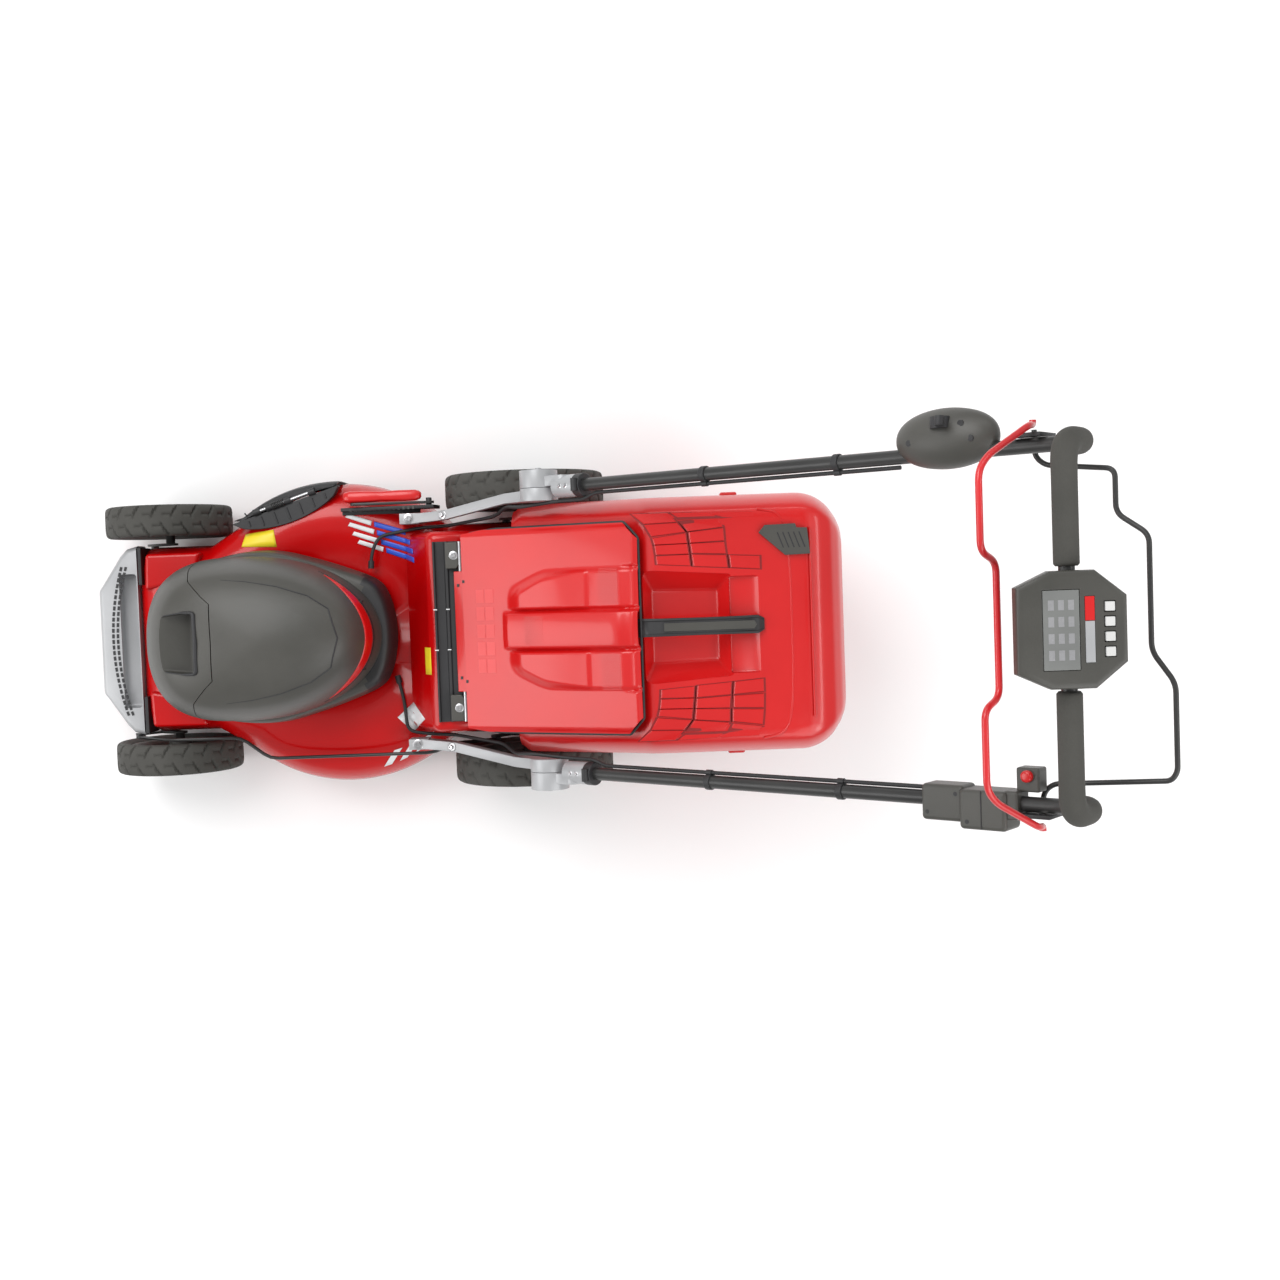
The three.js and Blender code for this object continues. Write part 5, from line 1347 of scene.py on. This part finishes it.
rounded_copy("front_axle", "front_axle_bar", 0.0008, black_coat, "front_crank", "black_steel")
rounded_copy("rear_axle", "rear_axle_bar", 0.0008, black_coat, "rear_crank", "black_steel")
rounded_copy("link_rod", "height_link_rod", 0.0004, black_coat, "height_link", "black_steel")
rounded_copy("height_lever", "height_lever_strip", 0.0006, black_coat, "height_hand_lever", "black_steel")
rounded_copy("index_plate", "height_index_plate", 0.0008, black_plastic, "mower_body", "black_plastic")
lever_low, lever_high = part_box("lever_grip")
L0, L1 = lever_low.x - BLADE_X, lever_high.x - BLADE_X
LY0, LY1 = lever_low.y - MIDDLE_Y, lever_high.y - MIDDLE_Y
points = []
GRIP_STATIONS = [(0.0, 0.55, 0.0), (0.004, 0.85, 0.2), (0.012, 1.0, 0.35), (0.040, 1.0, 0.45),
                 (0.060, 0.86, 0.5), (0.066, 0.80, 0.5), (0.072, 0.86, 0.55), (0.100, 0.94, 0.75),
                 (0.126, 0.90, 0.95), (0.133, 0.7, 1.0), (0.136, 0.4, 1.0)]
for along, wide, rise in GRIP_STATIONS:
    x = L0 + along * (L1 - L0) / 0.136
    middle_z = lever_low.z + 0.0105 + 0.006 * rise
    middle_y = (LY0 + LY1) / 2
    for k in range(20):
        turn = 2 * pi * k / 20
        y = middle_y + (LY1 - LY0) / 2 * wide * (abs(cos(turn)) ** 0.7) * (1 if cos(turn) > 0 else -1)
        z = middle_z + 0.0100 * wide * (abs(sin(turn)) ** 0.7) * (1 if sin(turn) > 0 else -1)
        points.append(spot(x, y, z))
lever_piece = piece_from("height_lever_grip", points, ring_faces(len(GRIP_STATIONS), 20), red_plastic)
settle(lever_piece, "height_hand_lever", "red_plastic", "lever_grip")
notches = [(spot(L0 + 0.012 + i * 0.0085, LY0 - 0.0115, 0.2155 + 0.0022 * i * 0.55),
            (0, 0, 0)) for i in range(14)]
notch_set = repeat_block("height_index_notches", (0.0032, 0.0052, 0.0040), notches, dark_plastic)
settle(notch_set, "mower_body", "black_plastic")

# --- handle brackets and folding sockets ----------------------------------------------------------
# Cast silver arms bolted to the deck carry the drums the handle folds about, each with a
# washer, a clevis screw and a black clamp ring where the tube enters its socket.
HANDLE_PIVOT = Vector((0.369, 0, 0.380))
HANDLE_TILT = radians(39)
tube_low, tube_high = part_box("handle_tube")
TUBE_R = 0.010
TUBE_Y = (tube_high.y - tube_low.y) / 2 - TUBE_R


def on_handle(s, y, up=0.0):
    """Place on the handle: distance up from its pivot, side position, height above its plane."""
    x = HANDLE_PIVOT.x + s * cos(HANDLE_TILT) - up * sin(HANDLE_TILT)
    z = HANDLE_PIVOT.z + s * sin(HANDLE_TILT) + up * cos(HANDLE_TILT)
    return spot(x, y, z)


HANDLE_UP = Vector((-sin(HANDLE_TILT), 0, cos(HANDLE_TILT)))
HANDLE_RUN = Vector((cos(HANDLE_TILT), 0, sin(HANDLE_TILT)))
for side, sign in (("right", 1), ("left", -1)):
    rounded_copy(f"bracket_{side}", f"handle_bracket_{side}", 0.0022, silver_lacquer, "mower_body",
                 "silver_coated", 3)
    rounded_copy(f"socket_{side}", f"handle_socket_{side}", 0.0014, silver_lacquer, "handle",
                 "silver_coated", 3)
    hex_bolt(f"bracket_bolt_{side}", spot(0.134, sign * 0.195, 0.2330), 0.0052, 0.0055, "mower_body")
    hex_bolt(f"bracket_top_bolt_{side}", spot(0.196, sign * 0.198, 0.2655), 0.0045, 0.0050, "mower_body",
             aim=Vector((-0.5, 0, 0.87)))
    ring_path = [on_handle(0.084, sign * TUBE_Y), on_handle(0.100, sign * TUBE_Y)]
    clamp = round_rod(f"socket_clamp_{side}", ring_path, 0.0186, black_plastic, sides=32)
    soften(clamp, 0.0015, 3, 50)
    settle(clamp, "handle", "black_plastic")
    lug = [on_handle(0.094, sign * (TUBE_Y - 0.010), 0.021), on_handle(0.094, sign * (TUBE_Y + 0.010),
                                                                       0.021)]
    settle(round_rod(f"socket_lug_{side}", lug, 0.0052, black_plastic), "handle", "black_plastic")
    for k, s in enumerate((0.060, 0.072)):
        head = on_handle(s, sign * TUBE_Y, 0.0172)
        hex_bolt(f"socket_screw_{side}_{k + 1}", head, 0.0026, 0.0030, "handle", aim=HANDLE_UP)

# --- handle tube and grips ------------------------------------------------------------------------
# One bent steel tube in black powder coat, with ribbed dark foam sleeves on the crossbar that
# run round the corners, and black cable clips on both legs.
foam = surface_finish("foam", ((0.048, 0.047, 0.041), (0.070, 0.068, 0.061)), 0.85, 700, 0.9)
HANDLE_END = 0.926
HANDLE_RISE = 0.070
TUBE_BEND = 0.030
tube_corners = [on_handle(0.054, -TUBE_Y), on_handle(HANDLE_END, -TUBE_Y), on_handle(HANDLE_END, -TUBE_Y,
                                                                                     HANDLE_RISE),
                on_handle(HANDLE_END, TUBE_Y, HANDLE_RISE), on_handle(HANDLE_END, TUBE_Y),
                on_handle(0.054, TUBE_Y)]
handle_tube = round_rod("handle_tube_bar", tube_corners, TUBE_R, black_coat, bend=TUBE_BEND, sides=32,
                        steps=14)
settle(handle_tube, "handle", "black_steel", "handle_tube")


def foam_radius(share):
    """Sleeve radius along its length: rounded lips at the ends and a slow swell at the corner."""
    lip = 0.0025 * (1 - ease(min(share, 1 - share), 0.0, 0.012))
    swell = 0.0006 * ease(share, 0.45, 0.62)
    return 0.0158 + swell - lip


for side, sign in (("right", 1), ("left", -1)):
    corners = [on_handle(HANDLE_END, sign * 0.076, HANDLE_RISE), on_handle(HANDLE_END, sign * TUBE_Y,
                                                                           HANDLE_RISE),
               on_handle(HANDLE_END, sign * TUBE_Y), on_handle(HANDLE_END - 0.034, sign * TUBE_Y)]
    line = bent_line(corners, TUBE_BEND, 16)
    fine = []
    for a, b in zip(line, line[1:]):
        steps = max(1, int((b - a).length / 0.003))
        fine += [a.lerp(b, k / steps) for k in range(steps)]
    fine.append(line[-1])
    sleeve = piece_from(f"grip_sleeve_{side}", tube_rings(fine, foam_radius, 40),
                        ring_faces(len(fine), 40), foam)
    sharpen_ends(sleeve, 60)
    settle(sleeve, "handle", "foam_grip", f"grip_{side}")
    for k, s in enumerate((0.330, 0.560) if sign > 0 else (0.320, 0.550)):
        path = [on_handle(s, sign * TUBE_Y), on_handle(s + 0.010, sign * TUBE_Y)]
        clip = round_rod(f"cable_clip_{side}_{k + 1}", path, 0.0122, black_plastic, sides=28)
        soften(clip, 0.0012, 3, 50)
        settle(clip, "handle", "black_plastic")
        path = [on_handle(s, sign * (TUBE_Y - 0.0140)), on_handle(s + 0.010, sign * (TUBE_Y - 0.0140))]
        loop = round_rod(f"cable_loop_{side}_{k + 1}", path, 0.0044, black_plastic, sides=20)
        settle(loop, "handle", "black_plastic")

# --- cables -----------------------------------------------------------------------------------
# Black jacketed control cables, each one line from the hood's grommet over the deck, past the fold
# and up the inside of a handle leg.
cable_rubber = surface_finish("cable_rubber", ((0.010, 0.010, 0.011), (0.018, 0.018, 0.019)), 0.55, 600,
                              0.3)
CABLE_R = 0.0030
CABLE_TURN_Y = TUBE_Y - 0.023
CABLE_Y = TUBE_Y - 0.014
HOOD_ENDS = {"right": [(0.076, 0.168, 0.2000), (0.062, 0.140, 0.2000), (0.060, 0.112, 0.2000)],
             "left": [(0.108, -0.120, 0.2000), (0.098, -0.076, 0.2000)]}
for side, sign, end in (("right", 1, 0.664), ("left", -1, 0.688)):
    path = [on_handle(end, sign * CABLE_Y), on_handle(0.118, sign * CABLE_Y),
            on_handle(0.096, sign * CABLE_TURN_Y),
            on_handle(0.038, sign * CABLE_TURN_Y), spot(0.333, sign * (CABLE_TURN_Y - 0.007), 0.384),
            spot(0.312, sign * (CABLE_TURN_Y - 0.003), 0.350), spot(0.290, sign * 0.190, 0.312),
            spot(0.200, sign * 0.180, 0.236), spot(0.150, sign * 0.180, 0.201),
            spot(0.112, sign * 0.174, 0.200)]
    path += [spot(*p) for p in HOOD_ENDS[side]]
    line = bent_line(path, 0.016, 8)
    fine = []
    for a, b in zip(line, line[1:]):
        steps = max(1, int((b - a).length / 0.008))
        fine += [a.lerp(b, k / steps) for k in range(steps)]
    fine.append(line[-1])
    cable = piece_from(f"control_cable_{side}", tube_rings(fine, CABLE_R, 14), ring_faces(len(fine), 14),
                       cable_rubber)
    sharpen_ends(cable, 60)
    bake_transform(cable)
    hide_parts(f"handle_cable_{side}", f"deck_cable_{side}")
    collar_place = spot(*HOOD_ENDS[side][-1])
    aim = (collar_place - spot(*HOOD_ENDS[side][-2])).normalized()
    collar = round_rod(f"cable_grommet_{side}", [collar_place - aim * 0.014, collar_place], 0.0052,
                       black_plastic)
    settle(collar, "mower_body", "black_plastic")

# --- display -----------------------------------------------------------------------------------
# Dark moulded octagonal housing clamped on the crossbar, with a recessed grey display window, a
# blank pale band and four small pale push keys.
cast_alloy = surface_finish("cast_alloy", ((0.30, 0.30, 0.31), (0.40, 0.40, 0.41)), 0.55, 320, 0.5,
                            metallic=0.8)
CROSS_X = HANDLE_PIVOT.x + HANDLE_END * cos(HANDLE_TILT) - HANDLE_RISE * sin(HANDLE_TILT)
DISPLAY_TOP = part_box("display_housing")[1].z
DISPLAY_OUTLINE = [(-0.071, 0.052), (-0.030, 0.071), (0.024, 0.071), (0.062, 0.040)]
DISPLAY_OUTLINE += [(x, -y) for x, y in reversed(DISPLAY_OUTLINE)]
window_glass = surface_finish("window_glass", ((0.15, 0.155, 0.15), (0.20, 0.205, 0.198)), 0.18, 90, 0.04,
                              coat=0.4)
key_plastic = surface_finish("key_plastic", ((0.55, 0.55, 0.54), (0.64, 0.64, 0.63)), 0.4, 600, 0.2)
points = []
DISPLAY_LEVELS = [(0.006, -0.027), (0.0, -0.022), (0.0, -0.006), (0.0012, -0.0022), (0.0038, -0.0006),
                  (0.008, 0.0)]
for inset, drop in DISPLAY_LEVELS:
    for x, y in DISPLAY_OUTLINE:
        points.append(spot(CROSS_X + x * (1 - inset / 0.066), y * (1 - inset / 0.071),
                           DISPLAY_TOP - 0.0004 + drop))
display = piece_from("display_case", points, ring_faces(len(DISPLAY_LEVELS), 8), dark_plastic)
carve(display, cutter_box(CROSS_X - 0.0405, CROSS_X + 0.0045, -0.0485, 0.0485, DISPLAY_TOP - 0.0034,
                          DISPLAY_TOP + 0.01), cutter_box(CROSS_X + 0.010, CROSS_X + 0.0225, -0.040,
                                                          0.040, DISPLAY_TOP - 0.0018, DISPLAY_TOP + 0.01))
for y in (-0.027, -0.009, 0.009, 0.027):
    carve(display, cutter_box(CROSS_X + 0.0332, CROSS_X + 0.0468, y - 0.0066, y + 0.0066,
                              DISPLAY_TOP - 0.0085, DISPLAY_TOP + 0.01))
sharpen_ends(display, 32)
soften(display, 0.0006, 2, 40)
settle(display, "handle", "dark_plastic", "display_housing")
under = cutter_box(CROSS_X - 0.022, CROSS_X + 0.024, -0.062, 0.062, DISPLAY_TOP - 0.055,
                   DISPLAY_TOP - 0.020)
under.name = "display_clamp"
under.data.materials[0] = dark_plastic
soften(under, 0.004, 4)
settle(under, "handle", "dark_plastic")


def inlay(name, x0, x1, y0, y1, z0, z1, material, body, slot, *nodes, edge=0.0010):
    """Small softened block let into a face."""
    piece = cutter_box(x0, x1, y0, y1, z0, z1)
    piece.name = name
    piece.data.materials[0] = material
    soften(piece, edge, 3)
    return settle(piece, body, slot, *nodes)


inlay("display_glass", CROSS_X - 0.0398, CROSS_X + 0.0038, -0.0478, 0.0478, DISPLAY_TOP - 0.0033,
      DISPLAY_TOP - 0.0008, window_glass, "handle", "window", "display_window", edge=0.0006)
inlay("display_band", CROSS_X + 0.0105, CROSS_X + 0.0220, -0.0395, 0.0100, DISPLAY_TOP - 0.0019,
      DISPLAY_TOP - 0.0008, silver_lacquer, "handle", "window", edge=0.0003)
inlay("display_band_red", CROSS_X + 0.0105, CROSS_X + 0.0220, 0.0108, 0.0395, DISPLAY_TOP - 0.0019,
      DISPLAY_TOP - 0.0008, red_plastic, "handle", "red_plastic", edge=0.0003)
segments = []
for row, y in enumerate((-0.030, -0.010, 0.010, 0.030)):
    for k in range(3):
        segments.append((spot(CROSS_X - 0.030 + k * 0.012, y, DISPLAY_TOP - 0.00085), (0, 0, 0)))
segment_set = repeat_block("display_segments", (0.0070, 0.0120, 0.0003), segments, cast_alloy)
settle(segment_set, "handle", "window")
for i, y in enumerate((-0.027, -0.009, 0.009, 0.027)):
    inlay(f"display_key_{i + 1}", CROSS_X + 0.0342, CROSS_X + 0.0458, y - 0.0056, y + 0.0056,
          DISPLAY_TOP - 0.0058, DISPLAY_TOP + 0.0018, key_plastic, f"key_{i + 1}", "pale_keys",
          f"panel_button_{i + 1}", edge=0.0012)

# --- speed pod and thumb lever --------------------------------------------------------------------
# Dark two-part moulded pod on the right leg with a parting line and screw wells; a small thumb
# lever turns in its outer side.
POD_S, POD_Y = 0.735, TUBE_Y + 0.019
POD_HALF_LONG = 0.0735
POD_HALF_WIDE = 0.0405
POD_HALF_TALL = 0.0325
POD_FULLNESS = 0.86
points, count = [], 56
POD_RINGS = 36
for i in range(POD_RINGS + 1):
    lon = pi * i / POD_RINGS
    shrink = max(sin(lon), 0.002)
    for k in range(count):
        turn = 2 * pi * k / count
        c, t = cos(turn), sin(turn)
        y = POD_HALF_WIDE * shrink ** POD_FULLNESS * c
        up = POD_HALF_TALL * shrink ** POD_FULLNESS * t
        if abs(up) < 0.0009 and shrink > 0.1:
            y *= 0.975
        points.append(on_handle(POD_S + POD_HALF_LONG * cos(lon), POD_Y + y, up))
pod = piece_from("speed_pod_shell", points, ring_faces(POD_RINGS + 1, count), dark_plastic)
settle(pod, "handle", "dark_plastic", "speed_pod")
for k, (s, y) in enumerate(((0.692, POD_Y - 0.004), (0.781, POD_Y - 0.004), (0.768, POD_Y + 0.016))):
    height = POD_HALF_TALL * max(0.0, 1 - ((s - POD_S) / POD_HALF_LONG) ** 2) ** 0.43
    height *= max(0.0, 1 - ((y - POD_Y) / POD_HALF_WIDE) ** 2) ** 0.5
    ring = [on_handle(s, y, height - 0.004), on_handle(s, y, height + 0.0006)]
    settle(round_rod(f"pod_screw_{k + 1}", ring, 0.0042, black_plastic), "handle", "black_plastic")
rounded_copy("thumb_lever", "thumb_lever_paddle", 0.0018, black_plastic, "speed_lever", "black_plastic", 3)

# --- switch box and start button ------------------------------------------------------------------
# Dark moulded switch housing on the left leg in stepped blocks, with a red start button.


def leg_block(name, s0, s1, y0, y1, up0, up1, material, body, slot, *nodes, edge=0.003):
    corners = [(s, y, up) for s in (s0, s1) for y in (y0, y1) for up in (up0, up1)]
    faces = [(0, 1, 3, 2), (4, 6, 7, 5), (0, 4, 5, 1), (2, 3, 7, 6), (0, 2, 6, 4), (1, 5, 7, 3)]
    piece = piece_from(name, [on_handle(*c) for c in corners], faces, material, smooth=False)
    soften(piece, edge, 4)
    return settle(piece, body, slot, *nodes)


leg_block("switch_box_front", 0.6905, 0.753, -0.2575, -0.2085, -0.0215, 0.0195, dark_plastic, "handle",
          "dark_plastic", "switch_box", edge=0.006)
leg_block("switch_box_middle", 0.748, 0.815, -0.2655, -0.2125, -0.0235, 0.0235, dark_plastic, "handle",
          "dark_plastic", edge=0.006)
leg_block("switch_box_tail", 0.812, 0.829, -0.2500, -0.2120, -0.0180, 0.0180, dark_plastic, "handle",
          "dark_plastic", edge=0.003)
leg_block("switch_box_step", 0.822, 0.854, -0.2140, -0.1820, -0.0200, 0.0050, dark_plastic, "handle",
          "dark_plastic", edge=0.003)
seam = [on_handle(0.7805, -0.2130, 0.0238), on_handle(0.7805, -0.2640, 0.0238)]
settle(round_rod("switch_box_seam", seam, 0.0007, black_plastic, sides=8), "handle", "black_plastic")
for k, (s, y) in enumerate(((0.700, -0.246), (0.742, -0.220), (0.760, -0.255), (0.803, -0.222))):
    up = 0.0193 if s < 0.75 else 0.0233
    ring = [on_handle(s, y, up - 0.003), on_handle(s, y, up + 0.0004)]
    settle(round_rod(f"switch_screw_{k + 1}", ring, 0.0030, black_plastic), "handle", "black_plastic")
button_path = [on_handle(0.838, -0.193, up) for up in (0.0, 0.0085, 0.0105, 0.0116, 0.0120)]
sizes = [0.0079, 0.0079, 0.0074, 0.0062, 0.0040]
points = []
for place, size in zip(button_path, sizes):
    side_axis = Vector((0, 1, 0))
    for k in range(36):
        turn = 2 * pi * k / 36
        points.append(place + side_axis * (size * cos(turn)) + HANDLE_RUN * (size * sin(turn)))
button = piece_from("start_button_cap", points, ring_faces(5, 36), red_plastic)
sharpen_ends(button, 60)
settle(button, "start_switch", "red_plastic", "start_button")

# --- bails -------------------------------------------------------------------------------------
# Two bent steel rods hung on black plates: the red dip-coated drive bail in front of the
# crossbar, and the black motor bail behind it.
red_coat = surface_finish("red_coat", ((0.50, 0.010, 0.014), (0.62, 0.016, 0.02)), 0.3, 300, 0.12, coat=0.3)
DRIVE_PIVOT = (0.858, 0.006)
drive_half = [(0.262, 0, 0), (0.256, 0, 0), (0.254, -0.010, 0.022), (0.215, -0.072, 0.058),
              (0.196, -0.086, 0.070), (0.098, -0.086, 0.070), (0.084, -0.062, 0.046)]
drive_path = [(-y, x, z) for y, x, z in drive_half] + drive_half[::-1]
origin = on_handle(*[DRIVE_PIVOT[0], 0, DRIVE_PIVOT[1]])
corners = [origin + Vector((x, y, z)) for y, x, z in drive_path]
drive_bail = round_rod("drive_bail_rod", corners, 0.0045, red_coat, bend=0.014, sides=24, steps=10)
settle(drive_bail, "drive_bail_body", "red_coated_steel", "drive_bail")
origin = on_handle(0.846, 0, -0.024)
motor_path = [(-0.252, 0, 0), (-0.218, 0, 0), (-0.206, 0.012, 0.004), (-0.196, 0.138, 0.084),
              (-0.184, 0.144, 0.090), (-0.074, 0.144, 0.090), (-0.034, 0.120, 0.075),
              (0.112, 0.120, 0.075), (0.140, 0.086, 0.054), (0.196, 0.086, 0.054), (0.206, 0.012, 0.004),
              (0.218, 0, 0), (0.252, 0, 0)]
corners = [origin + Vector((x, y, z)) for y, x, z in motor_path]
motor_bail = round_rod("motor_bail_rod", corners, 0.0035, black_coat, bend=0.012, sides=24, steps=10)
settle(motor_bail, "motor_bail_body", "black_steel", "motor_bail")
for side, sign in (("right", 1), ("left", -1)):
    rounded_copy(f"bail_plate_{side}", f"bail_hanger_{side}", 0.0010, black_plastic, "handle",
                 "black_plastic")

# --- motor, battery, key, blade and drive -----------------------------------------------------------
# The parts under the hood and deck keep the fixed frame's shape: cast motor and gear housings,
# a moulded battery and key, and a ground steel blade on its alloy hub.
battery_plastic = surface_finish("battery_plastic", ((0.030, 0.030, 0.031), (0.050, 0.050, 0.051)), 0.5,
                                 1000, 0.3)
for node, material in (("motor", cast_alloy), ("controller", black_plastic),
                       ("battery_pack", battery_plastic), ("safety_key", red_plastic),
                       ("blade", bright_steel), ("blade_adapter", cast_alloy),
                       ("blade_bolt", bright_steel), ("rear_drive", cast_alloy)):
    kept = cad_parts[node]
    for index in range(len(kept.material_slots)):
        kept.material_slots[index].material = material
